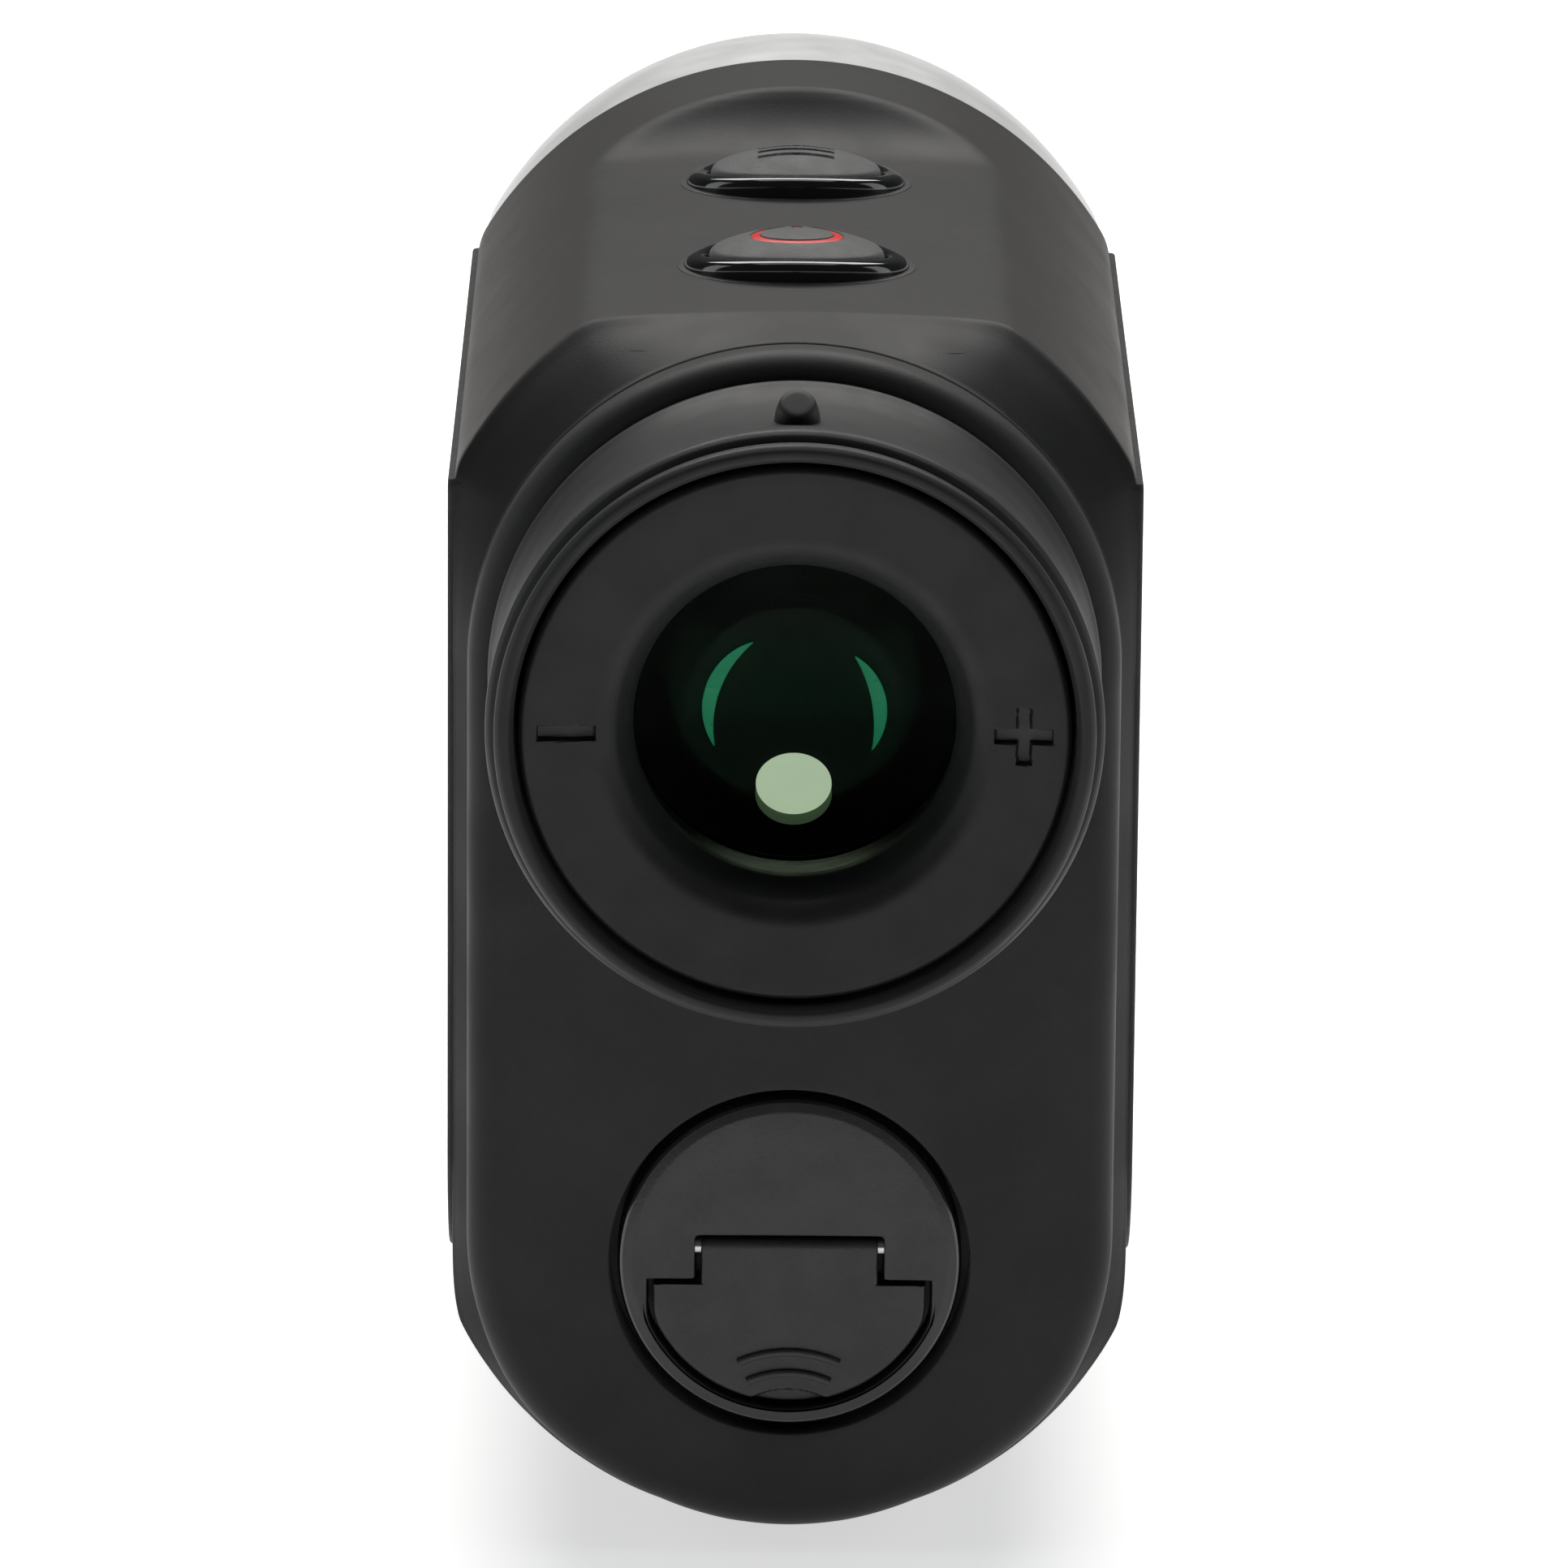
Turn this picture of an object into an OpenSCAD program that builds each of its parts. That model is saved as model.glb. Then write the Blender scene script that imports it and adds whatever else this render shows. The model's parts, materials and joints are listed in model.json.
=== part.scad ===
// Handheld laser rangefinder: a monocular with a laser ranging unit.
// Modules draw in the optical frame: the eyepiece axis is the Y axis, y = 0 is the
// rear face and +Y looks at the target. in_frame() then moves the part so that the
// origin is the middle of its underside.

/* [Body] */
// Width over the flat sides of the rubber armour
body_w = 40.4; // [40.2:0.1:40.6]
// Radius of the round top, about the eyepiece axis
top_r = 22.9; // [22.7:0.1:23.1]
// Radius of the round bottom
bottom_r = 20.3; // [20.3:0.05:20.5]
// Distance from the eyepiece axis down to the centre of the bottom arc
axis_drop = 35; // [34.8:0.1:35.2]
// Distance from the eyepiece axis down to the flat foot
foot_drop = 54.8; // [54.7:0.1:54.9]
// Length of the rubber armour, measured from the rear face
armour_end = 64; // [63.5:0.1:64.5]
// Length of the whole housing, measured from the rear face
nose_end = 85; // [84.8:0.1:85.2]
// Thickness of the rubber armour
armour_t = 1.4; // [1.3:0.1:1.5]
// Thickness of the hard inner shell
shell_t = 1.2; // [1.1:0.1:1.3]

/* [Rear cover] */
// Radius of the rear cover's round ends
cover_r = 19.25; // [19.1:0.05:19.4]
// Thickness of the rear cover
cover_t = 3; // [2.9:0.1:3.1]
// Size of the rounded band along the rear cover's edge
cover_round = 1.5; // [1.3:0.1:1.7]

/* [Top facet and buttons] */
// Height of the button facet above the eyepiece axis
facet_z = 19.8; // [19.7:0.1:19.9]
// Radius of the facet's crown, side to side
facet_r = 150; // [120:10:200]
// Forward end of the flat stretch of the facet
facet_end = 49; // [48.5:0.5:50]
// Place of the power button, forward of the rear face
power_y = 20.6; // [20.2:0.1:21]
// Place of the mode button, forward of the rear face
mode_y = 42.7; // [42.2:0.1:43]
// Radius of a button's cap
button_r = 5.25; // [5.2:0.05:5.3]
// Radius of the glossy bezel around a button
bezel_r = 6.7; // [6.6:0.05:6.8]

/* [Eyepiece] */
// Radius of the eyepiece tube
tube_r = 15; // [14.9:0.05:15.1]
// Largest radius of the eyecup
eyecup_r = 17.9; // [17.8:0.05:18]
// How far the eyecup stands behind the rear face
eyecup_len = 14.15; // [14:0.05:14.3]
// Radius of the opening that the eye looks through
aperture_r = 9.35; // [9.2:0.05:9.5]

/* [Battery] */
// Distance from the eyepiece axis down to the battery axis
cell_drop = 36.4; // [36.2:0.1:36.6]
// Radius of the lithium cell
cell_r = 7.8; // [7.7:0.05:7.8]
// Length of the lithium cell, with its button
cell_len = 27; // [26.5:0.1:27]
// Radius of the battery cap's head
cap_r = 10.25; // [10.2:0.05:10.3]
// Radius of the recess that the cap's head sits in
recess_r = 10.8; // [10.7:0.05:10.9]
// Thickness of the flip-up tab on the cap
tab_t = 1.5; // [1.4:0.1:1.5]

/* [Front optics] */
// Radius of the objective lens
objective_r = 12.2; // [12:0.1:12.3]
// Radius of the receiver lens
receiver_r = 8.9; // [8.8:0.1:9]
// Distance from the eyepiece axis down to the receiver axis
receiver_drop = 32; // [31.8:0.1:32.2]

/* [Tripod bush] */
// Radius of the tripod thread's core hole
thread_core_r = 2.55; // [2.5:0.05:2.6]
// Depth of the tripod thread
thread_depth = 6.5; // [6:0.1:7]
// Place of the tripod bush, forward of the rear face
bush_y = 46; // [45.5:0.5:47]

/* [Hidden] */
$fn = 96;

half_w = body_w / 2;
origin_y = (nose_end - eyecup_len) / 2;
wall = armour_t + shell_t;
gap = 0.3;
eps = 0.01;

// Running clearance between a piece that turns or slides and the piece that guides it
fit = 0.08;

// Shoulder between the rear cover and the full width of the armour
shoulder_y = 6.5;
shoulder_slope = (shoulder_y - cover_t) / (top_r - cover_r);

// Ramp from the facet up to the round top
ramp_end = 55.3;

// Side panels: how far they stand proud, and how deep they are let in
panel_proud = 0.3;
panel_deep = 0.8;
panel_top = 10.4;
panel_bottom = -39.1;
panel_start = 4.6;
panel_corner = 8;

// Silver front shell, set in from the armour, and its front window
nose_inset = 0.4;
nose_wall = 1.6;
window_r = 15.9;

// Eyepiece stations along the axis
tube_rear = -9.6;
tube_front = 16;
tube_bore = 12.6;
cell_wall = 1.2;
lens_seat_r = tube_bore - fit - cell_wall;
cell_rear = -8.6;
cell_front = 8.4;
lens_rim = 1.55;
face_r = 15.95;
bearing_r = tube_r + fit;

// Battery compartment stations
socket_r = 9.35;
socket_end = 9;
sleeve_r = cell_r + gap;
sleeve_outer = 9.9;
cell_start = 8.9;
sleeve_end = 38;
neck_r = socket_r - fit;
neck_end = 8.3;
head_rear = -0.15;
seal_y = 5.8;
seal_minor = 0.45;
seal_major = 8.8;

// Flip-up tab on the battery cap
tab_pin_r = 0.5;
tab_pin_z = -35.6;
tab_pin_y = 0.75;
tab_r = 8.9;
tab_stem_w = 10.7;
tab_shoulder_z = -37.7;
tab_side_x = 8.2;
pocket_floor = 1.8;
notch_z = -49.1;

// Button stack heights above the eyepiece axis
board_low = 13.2;
board_t = 1;
switch_h = 2;
plunger_low = 15.4;
plunger_top = 16.9;
plunger_r = 1.5;
cap_low = 18.4;
cap_edge = 20.4;
cap_dome = 1.2;
bezel_low = 18.9;
bezel_top = 21;
button_hole_r = 5.9;

// Outer radius of the tripod bush
bush_r = 4.3;

// Where the front optics stop and the front plate sits
plate_y = 82.4;
rim_y = 84.8;
barrel_start = 54;

// Moves the optical frame so that the origin is the middle of the underside.
module in_frame() {
    translate([0, -origin_y, foot_drop]) children();
}

// Turns a solid drawn along Z so that it lies along Y, at height z.
module along_y(z = 0) {
    translate([0, 0, z]) rotate([-90, 0, 0]) children();
}

// Extrudes an outline, drawn as seen from behind, from y0 to y1.
module slab_y(y0, y1) {
    translate([0, y1, 0]) rotate([90, 0, 0]) linear_extrude(height = y1 - y0) children();
}

// Extrudes a side outline, drawn with Y to the right and Z up, across the width.
module slab_x(w) {
    rotate([90, 0, 90]) translate([0, 0, -w / 2]) linear_extrude(height = w) children();
}

// A tube or disc about an axis parallel to Y.
module ring_y(outer, inner, y0, y1, z = 0) {
    along_y(z) translate([0, 0, y0]) difference() {
        cylinder(r = outer, h = y1 - y0);
        if (inner > 0) translate([0, 0, -1]) cylinder(r = inner, h = y1 - y0 + 2);
    }
}

// A tall body with round ends: a profile of [radius, y] points carried round both ends.
module tall_body(top_profile, low_profile) {
    along_y() rotate_extrude() polygon(top_profile);
    along_y(-axis_drop) rotate_extrude() polygon(low_profile);
    translate([0, 0, -axis_drop]) linear_extrude(height = axis_drop) {
        polygon(low_profile);
        mirror([1, 0]) polygon(low_profile);
    }
}

// An outline with round ends, as seen from behind.
module tall_outline(r) {
    circle(r);
    translate([0, -axis_drop]) circle(r);
    translate([-r, -axis_drop]) square([2 * r, axis_drop]);
}

// Profile of the armour's outside, inset by d and lengthened past both ends by over.
function armour_profile(r, d, over) = [
    [0, cover_t - over],
    [cover_r - d, cover_t - over],
    [cover_r - d, cover_t],
    [r - d, cover_t + (r - cover_r) * shoulder_slope],
    [r - d, armour_end + over],
    [0, armour_end + over]
];

// The armour's outer form, inset by d, with its flat sides, foot and top facet.
module armour_form(d, over = 0) {
    difference() {
        intersection() {
            tall_body(armour_profile(top_r, d, over), armour_profile(bottom_r, d, over));
            translate([-half_w + d, 0, -foot_drop + d])
                cube([2 * (half_w - d), armour_end + over, foot_drop + top_r + 1]);
        }
        facet_cutter(d);
    }
}

// What the crowned facet and its ramp take away from the round top.
module facet_cutter(d) {
    difference() {
        translate([0, 0, -d]) slab_x(40) polygon([
            [0, 16], [0, 30], [ramp_end, 30], [ramp_end, top_r + 0.3],
            [ramp_end - 2.6, facet_z + 1.2], [facet_end, facet_z - 0.2], [facet_end, 16]
        ]);
        along_y(facet_z - facet_r - d) translate([0, 0, -1]) cylinder(r = facet_r, h = 70, $fn = 720);
    }
}

// The hole through the top for one button.
module button_hole(y, r) {
    translate([0, y, 0]) cylinder(r = r, h = 30);
}

// A lens along Y: a flat rim from y0 to y1, and faces that bulge by b0 and b1 within it.
module lens(r, y0, y1, b0, b1) {
    clear_r = r - lens_rim;
    r0 = (clear_r * clear_r + b0 * b0) / (2 * b0);
    r1 = (clear_r * clear_r + b1 * b1) / (2 * b1);
    along_y() rotate_extrude() {
        translate([0, y0]) square([r, y1 - y0]);
        intersection() {
            translate([0, y0 - b0]) square([clear_r, b0 + eps]);
            translate([0, y0 - b0 + r0]) circle(r0, $fn = 360);
        }
        intersection() {
            translate([0, y1 - eps]) square([clear_r, b1 + eps]);
            translate([0, y1 + b1 - r1]) circle(r1, $fn = 360);
        }
    }
}

module rear_cover() {
    edge = [
        [0, 0],
        [cover_r - cover_round, 0],
        [cover_r - 0.35 * cover_round, 0.35 * cover_round],
        [cover_r, cover_round],
        [cover_r, cover_t],
        [0, cover_t]
    ];
    color("dimgray") in_frame() difference() {
        tall_body(edge, edge);
        ring_y(tube_r + 1, 0, -1, cover_t + 1);
        ring_y(recess_r, 0, -1, cover_t + 1, -cell_drop);
        for (p = screw_places()) translate([p[0], 0, p[1]])
            ring_y(0.75, 0, cover_t - 1.8, cover_t + 1);
    }
}

module armour() {
    color("dimgray") in_frame() difference() {
        armour_form(0);
        armour_form(armour_t, 1);
        for (y = [power_y, mode_y]) button_hole(y, bezel_r);
        for (side = [-1, 1]) translate([side * (half_w - panel_deep / 2 + eps), 0, 0])
            slab_x(panel_deep + 2 * eps) panel_outline();
        bush_hole();
    }
}

module inner_shell() {
    color("black") in_frame() {
        difference() {
            armour_form(armour_t);
            armour_form(wall, 1);
            for (y = [power_y, mode_y]) button_hole(y, button_hole_r);
            bush_hole();
        }
        // Two rails carry the main board.
        for (side = [-1, 1]) translate([side * (half_w - wall - 0.4), 10, -21.8])
            translate([-0.5, 0, 0]) cube([1, 46, 1.2]);
    }
}

module bush_hole() {
    translate([0, bush_y, -foot_drop - 1]) cylinder(r = bush_r, h = 8);
}

// A side panel seen from the side: one round corner, low at the rear.
module panel_outline() {
    difference() {
        polygon([
            [panel_start, panel_bottom], [armour_end, panel_bottom],
            [armour_end, panel_top], [panel_start, panel_top]
        ]);
        difference() {
            translate([panel_start - 1, panel_bottom - 1]) square(panel_corner + 1);
            translate([panel_start + panel_corner, panel_bottom + panel_corner]) circle(panel_corner);
        }
    }
}

module side_panel(side) {
    thick = panel_deep + panel_proud;
    color("gray") in_frame() translate([side * (half_w + panel_proud - thick / 2), 0, 0])
        slab_x(thick) panel_outline();
}

// Profile of the silver nose: it draws in slowly, then rounds over to its front edge.
// draw scales how far it draws in.
function nose_profile(r, draw) = [
    [0, armour_end],
    [r, armour_end],
    [r - 0.1 * draw, 70],
    [r - 0.7 * draw, 76],
    [r - 1.7 * draw, 81],
    [r - 3 * draw, 84],
    [r - 4.2 * draw, nose_end],
    [0, nose_end]
];

module front_shell() {
    color("silver") in_frame() difference() {
        intersection() {
            tall_body(nose_profile(top_r - nose_inset, 1), nose_profile(bottom_r - nose_inset, 0.8));
            translate([-half_w + nose_inset, 0, -foot_drop + nose_inset])
                cube([body_w - 2 * nose_inset, nose_end, foot_drop + top_r]);
        }
        slab_y(armour_end - 1, plate_y - nose_wall) tall_outline(window_r + 1.6);
        slab_y(armour_end - 1, nose_end + 1) tall_outline(window_r);
    }
}

module front_bezel() {
    color("black") in_frame() difference() {
        slab_y(plate_y, plate_y + 1.6) tall_outline(window_r);
        ring_y(objective_r + 1.2, 0, plate_y - 1, nose_end);
        ring_y(receiver_r + 1.2, 0, plate_y - 1, nose_end, -receiver_drop);
    }
}

module eyepiece_tube() {
    color("black") in_frame() along_y() rotate_extrude() polygon([
        [tube_bore, tube_rear], [tube_r, tube_rear], [tube_r, cover_t], [tube_r + 1.4, cover_t],
        [tube_r + 1.4, cover_t + 1.6], [tube_r, cover_t + 1.6], [tube_r, tube_front],
        [tube_bore, tube_front]
    ]);
}

module eyepiece_face() {
    color("black") in_frame() difference() {
        along_y() rotate_extrude() polygon([
            [aperture_r, tube_rear], [aperture_r, -10.3], [9.9, -11.3], [10.8, -12.1],
            [12.2, -12.7], [15.1, -13.5], [15.7, -13.5], [face_r, -13.2], [face_r, tube_rear]
        ]);
        dioptre_marks();
    }
}

// Engraved minus and plus, left and right of the aperture.
module dioptre_marks() {
    mark_x = 13.2;
    for (side = [-1, 1]) translate([side * mark_x, -13.4, 0]) cube([3.2, 1.4, 0.6], center = true);
    translate([mark_x, -13.4, 0]) cube([0.6, 1.4, 3.2], center = true);
}

module eyepiece_seal() {
    color("black") in_frame() along_y() translate([0, 0, cover_t / 2]) rotate_extrude()
        translate([tube_r + 0.5, 0]) circle(0.48);
}

module eyecup() {
    color("dimgray") in_frame() {
        along_y() rotate_extrude() polygon([
            [bearing_r, -0.45], [bearing_r, -4.6], [16.25, -5.2], [16.25, -13.6], [16.55, -eyecup_len],
            [17.05, -eyecup_len], [17.36, -13.8], [17.36, -13.1], [17.15, -12.9], [17.65, -12.75],
            [eyecup_r, -12.4], [eyecup_r, -11.9], [17.45, -9.5], [17.25, -6.5], [17.4, -3.6],
            [17.75, -1.9], [18.05, -1.2], [17.8, -0.45]
        ]);
        // Raised dot that shows the dioptre setting.
        translate([0, -7.3, 16.9]) cylinder(r1 = 1.15, r2 = 0.9, h = 1.15);
    }
}

module ocular_cell() {
    color("black") in_frame() along_y() rotate_extrude() polygon([
        [lens_seat_r, cell_rear], [tube_bore - fit, cell_rear], [tube_bore - fit, cell_front],
        [lens_seat_r - 1.5, cell_front], [lens_seat_r - 1.5, cell_front - 1], [lens_seat_r, cell_front - 1]
    ]);
}

module eye_lens() {
    color("darkgreen") in_frame() lens(lens_seat_r - 0.02, -5.6, -2.6, 1.4, 2.2);
}

module ocular_spacer() {
    color("black") in_frame() ring_y(lens_seat_r - 0.02, lens_seat_r - 1.5, -2.6, 2.4);
}

module field_lens() {
    color("darkgreen") in_frame() lens(lens_seat_r - 0.02, 2.4, 5.4, 1, 1.8);
}

module ocular_ring() {
    color("black") in_frame() {
        ring_y(lens_seat_r - 0.02, lens_seat_r - 1.5, cell_rear, -5.6);
        ring_y(lens_seat_r - 0.02, lens_seat_r - 1.5, 5.4, cell_front - 1);
    }
}

module lcd_frame() {
    color("black") in_frame() difference() {
        slab_y(tube_front, 24) square(25, center = true);
        ring_y(9.5, 0, tube_front - 1, 25);
        translate([-9, 18, -9]) cube([18, 1.2, 30]);
    }
}

module lcd_display() {
    color("lightsteelblue") in_frame() translate([-8.95, 18.05, -8.95]) cube([17.9, 1.1, 20]);
}

module prism_housing() {
    color("black") in_frame() difference() {
        translate([-12.5, 24, -12.5]) cube([25, barrel_start - 24, 22.5]);
        translate([-8.1, 25.6, -10.9]) cube([16.2, barrel_start - 27.2, 19.3]);
        ring_y(8, 0, 20, 60);
        translate([0, 43, -20]) cylinder(r = 2, h = 12);
    }
}

module half_penta_prism() {
    color("lightcyan") in_frame() slab_x(16)
        polygon([[26, -8.4], [26, 8.2], [31.6, 8.2], [38.4, -8.4]]);
}

module roof_prism() {
    color("lightcyan") in_frame() slab_x(16)
        polygon([[32.1, 8.2], [38.9, -8.4], [46, -8.4], [52, -2], [52, 8.2]]);
}

module laser_diode() {
    color("gold") in_frame() translate([0, 43, 0]) {
        translate([0, 0, -13.9]) cylinder(r = 2.8, h = 1.4);
        translate([0, 0, -17.2]) cylinder(r = 2.3, h = 3.3);
        for (x = [-1, 1]) translate([x, 0, -19.3]) cylinder(r = 0.25, h = 2.2);
    }
}

// A lens barrel with a narrower rim that fills its hole in the front plate.
module barrel(lens_r, y0, z) {
    seat = plate_y - 1.4;
    ring_y(lens_r + 2, lens_r, y0, plate_y, z);
    ring_y(lens_r + 1.2, lens_r, plate_y - 0.5, rim_y, z);
    ring_y(lens_r + 0.2, lens_r - 1, seat - 6.6, seat - 5.6, z);
}

module objective_barrel() {
    color("black") in_frame() barrel(objective_r, barrel_start, 0);
}

module objective_lens() {
    color("mediumpurple") in_frame() lens(objective_r - 0.02, 75.4, 79.6, 1, 1.6);
}

module objective_ring() {
    color("black") in_frame() ring_y(objective_r - 0.02, objective_r - 1.5, 79.6, 83);
}

module receiver_barrel() {
    color("black") in_frame() barrel(receiver_r, 60, -receiver_drop);
}

module receiver_lens() {
    color("darkred") in_frame() translate([0, 0, -receiver_drop])
        lens(receiver_r - 0.02, 75.4, 79.6, 0.8, 1.4);
}

module receiver_ring() {
    color("black") in_frame() ring_y(receiver_r - 0.02, receiver_r - 1.5, 79.6, 83, -receiver_drop);
}

module detector() {
    color("gold") in_frame() {
        ring_y(4.6, 0, 56.2, 57.4, -receiver_drop);
        ring_y(4, 0, 57.3, 61, -receiver_drop);
    }
}

module detector_board() {
    color("green") in_frame() translate([-9, 55, -receiver_drop - 9]) cube([18, 1.2, 18]);
}

module main_board() {
    color("green") in_frame() translate([-17, 8, -20.6]) cube([34, 50, 1.2]);
}

module board_chips() {
    // Each chip is its low corner's x and y, then its width, length and height.
    chips = [
        [-12, 12, 8, 8, 1.2],
        [2, 12, 10, 7, 1.4],
        [-13, 26, 6, 10, 1],
        [4, 26, 9, 9, 1.2],
        [6, 48, 7, 5, 1.6]
    ];
    color("black") in_frame() for (c = chips) translate([c[0], c[1], -19.4]) cube([c[2], c[3], c[4]]);
}

module button_board() {
    color("green") in_frame() translate([-7, power_y - 4, board_low])
        cube([14, mode_y - power_y + 10, board_t]);
}

// A tact switch with a blind hole for its plunger.
module tact_switch(y) {
    color("lightgray") in_frame() translate([0, y, board_low + board_t]) difference() {
        translate([-3, -3, 0]) cube([6, 6, switch_h]);
        translate([0, 0, 0.4]) cylinder(r = plunger_r + 0.1, h = switch_h);
    }
}

module plunger(y) {
    color("black") in_frame() translate([0, y, plunger_low])
        cylinder(r = plunger_r, h = plunger_top - plunger_low);
}

// The glossy ring around a button.
module button_bezel(y) {
    inner = button_r + 0.1;
    ring_w = bezel_r - inner;
    color("black") in_frame() translate([0, y, 0]) rotate_extrude() {
        translate([inner, bezel_low]) square([ring_w, bezel_top - ring_w / 2 - bezel_low]);
        translate([inner + ring_w / 2, bezel_top - ring_w / 2]) circle(ring_w / 2);
    }
}

// A domed button cap with its stem.
module button_cap(y) {
    dome_r = (button_r * button_r + cap_dome * cap_dome) / (2 * cap_dome);
    translate([0, y, 0]) {
        intersection() {
            translate([0, 0, cap_low]) cylinder(r = button_r, h = cap_edge + cap_dome - cap_low);
            translate([0, 0, cap_edge + cap_dome - dome_r]) sphere(dome_r, $fn = 360);
        }
        translate([0, 0, plunger_top]) cylinder(r = plunger_r, h = cap_low - plunger_top + eps);
    }
}

module power_cap() {
    color("dimgray") in_frame() difference() {
        button_cap(power_y);
        power_ring(0.02);
    }
}

// A broken ring with a bar in its gap, the common sign for power.
module power_ring(grow) {
    ring_r = 2.75;
    low = cap_edge + 0.1;
    top = cap_edge + cap_dome - 0.3;
    translate([0, power_y, 0]) {
        difference() {
            translate([0, 0, low]) cylinder(r = ring_r + grow, h = top - low + grow);
            translate([0, 0, low - 1]) cylinder(r = ring_r - 0.5 - grow, h = 3);
            translate([-0.8 + grow, 0, low - 1]) cube([1.6 - 2 * grow, 5, 3]);
        }
        translate([-0.25 - grow, 1.3 - grow, low]) cube([0.5 + 2 * grow, 1.9 + 2 * grow, top - low + grow]);
    }
}

module power_mark() {
    color("red") in_frame() power_ring(0);
}

module mode_cap() {
    color("dimgray") in_frame() difference() {
        button_cap(mode_y);
        // Three engraved bars, a plain sign for a list of modes.
        for (i = [-1, 0, 1]) translate([0, mode_y + 1.5 * i, cap_edge + cap_dome])
            cube([4.6, 0.6, 1], center = true);
    }
}

// Screws that hold the battery tube against the rear cover.
function screw_places() = [for (a = [45, 135, 225, 315]) [12.1 * cos(a), -cell_drop + 12.1 * sin(a)]];

module battery_tube() {
    color("black") in_frame() difference() {
        union() {
            ring_y(13.2, 0, cover_t, cover_t + 2, -cell_drop);
            ring_y(socket_r + 1.4, 0, cover_t, socket_end + 1, -cell_drop);
            ring_y(sleeve_outer, 0, cover_t, sleeve_end + 1.4, -cell_drop);
        }
        ring_y(socket_r, 0, cover_t - 1, socket_end, -cell_drop);
        ring_y(sleeve_r, 0, 0, sleeve_end, -cell_drop);
        for (p = screw_places()) translate([p[0], 0, p[1]]) ring_y(0.75, 0, 0, 6);
    }
}

module tube_screws() {
    color("silver") in_frame() for (p = screw_places()) translate([p[0], 0, p[1]]) {
        ring_y(0.7, 0, cover_t - 1.6, cover_t + 2.1);
        ring_y(1.2, 0, cover_t + 2, cover_t + 2.9);
    }
}

// Rings of points along a conical coil, for the battery's contact spring.
spring_turns = 2.5;
spring_steps = 50;
wire_r = 0.3;
wire_sides = 8;
function coil_point(i) = let(t = i / spring_steps, a = 360 * spring_turns * t, r = 5.4 - 2.6 * t)
    [r * cos(a), r * sin(a), sleeve_end - wire_r - t * 1.35];
function coil_ring(i) = let(a = 360 * spring_turns * i / spring_steps, c = coil_point(i))
    [for (k = [0 : wire_sides - 1]) let(b = 360 * k / wire_sides)
        c + wire_r * [cos(a) * cos(b), sin(a) * cos(b), sin(b)]];

module contact_spring() {
    points = [for (i = [0 : spring_steps]) each coil_ring(i)];
    sides = [for (i = [0 : spring_steps - 1], k = [0 : wire_sides - 1])
        let(a = i * wire_sides + k, b = i * wire_sides + (k + 1) % wire_sides)
            [a, b, b + wire_sides, a + wire_sides]];
    start_cap = [for (k = [wire_sides - 1 : -1 : 0]) k];
    end_cap = [for (k = [0 : wire_sides - 1]) spring_steps * wire_sides + k];
    color("silver") in_frame() along_y(-cell_drop)
        polyhedron(points = points, faces = concat([start_cap, end_cap], sides));
}

module battery_cell() {
    button_len = 1.3;
    color("steelblue") in_frame() {
        ring_y(cell_r, 0, cell_start, cell_start + cell_len - button_len, -cell_drop);
        ring_y(3.2, 0, cell_start + cell_len - button_len - eps, cell_start + cell_len, -cell_drop);
    }
}

// Front view of the tab: a narrow stem above a half moon with upright sides.
module tab_outline(grow, stem_top) {
    side_x = tab_side_x + grow;
    intersection() {
        translate([0, -cell_drop]) circle(tab_r + grow);
        union() {
            translate([-side_x, -50]) square([2 * side_x, 50 + tab_shoulder_z + grow]);
            translate([-tab_stem_w / 2 - grow, -40])
                square([tab_stem_w + 2 * grow, stem_top + 40]);
        }
    }
}

module battery_cap() {
    rim = 0.7;
    color("black") in_frame() difference() {
        along_y(-cell_drop) rotate_extrude() polygon([
            [0, head_rear], [cap_r - rim, head_rear], [cap_r, head_rear + rim], [cap_r, cover_t - 0.1],
            [neck_r, cover_t - 0.1], [neck_r, seal_y - 0.6], [8.27, seal_y - 0.6], [8.27, seal_y + 0.6],
            [neck_r, seal_y + 0.6], [neck_r, neck_end], [0, neck_end]
        ]);
        slab_y(head_rear - 1, pocket_floor) tab_outline(0.15, tab_pin_z + 0.9);
        tab_pin_hole(0);
    }
}

// The bore for the tab's pin, and the pin itself, across the cap.
module tab_pin_hole(shrink) {
    translate([-6.7, tab_pin_y, tab_pin_z]) rotate([0, 90, 0])
        cylinder(r = tab_pin_r - shrink, h = 13.4);
}

module tab_pin() {
    color("silver") in_frame() tab_pin_hole(0.01);
}

module cap_tab() {
    color("black") in_frame() {
        difference() {
            union() {
                slab_y(0, tab_t) tab_outline(0, tab_pin_z);
                translate([-tab_stem_w / 2, tab_pin_y, tab_pin_z]) rotate([0, 90, 0])
                    cylinder(r = tab_t / 2, h = tab_stem_w);
            }
            translate([-10, tab_pin_y, tab_pin_z]) rotate([0, 90, 0])
                cylinder(r = tab_pin_r + 0.06, h = 20);
            // Finger notch at the lower edge.
            translate([0, -0.4, notch_z]) rotate([-90, 0, 0]) cylinder(r = 4.7, h = 0.9);
        }
        // Two curved grip bars above the notch.
        for (r = [5.8, 7.1]) grip_bar(r);
    }
}

// One raised grip bar: an arc about the middle of the finger notch.
module grip_bar(r) {
    span = 50;
    translate([0, 0, notch_z]) rotate([-90, -90 - span / 2, 0]) translate([0, 0, -0.3])
        rotate_extrude(angle = span) translate([r - 0.25, 0]) square([0.5, 0.4]);
}

module cap_seal() {
    color("black") in_frame() along_y(-cell_drop) translate([0, 0, seal_y]) rotate_extrude()
        translate([seal_major, 0]) circle(seal_minor);
}

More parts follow.
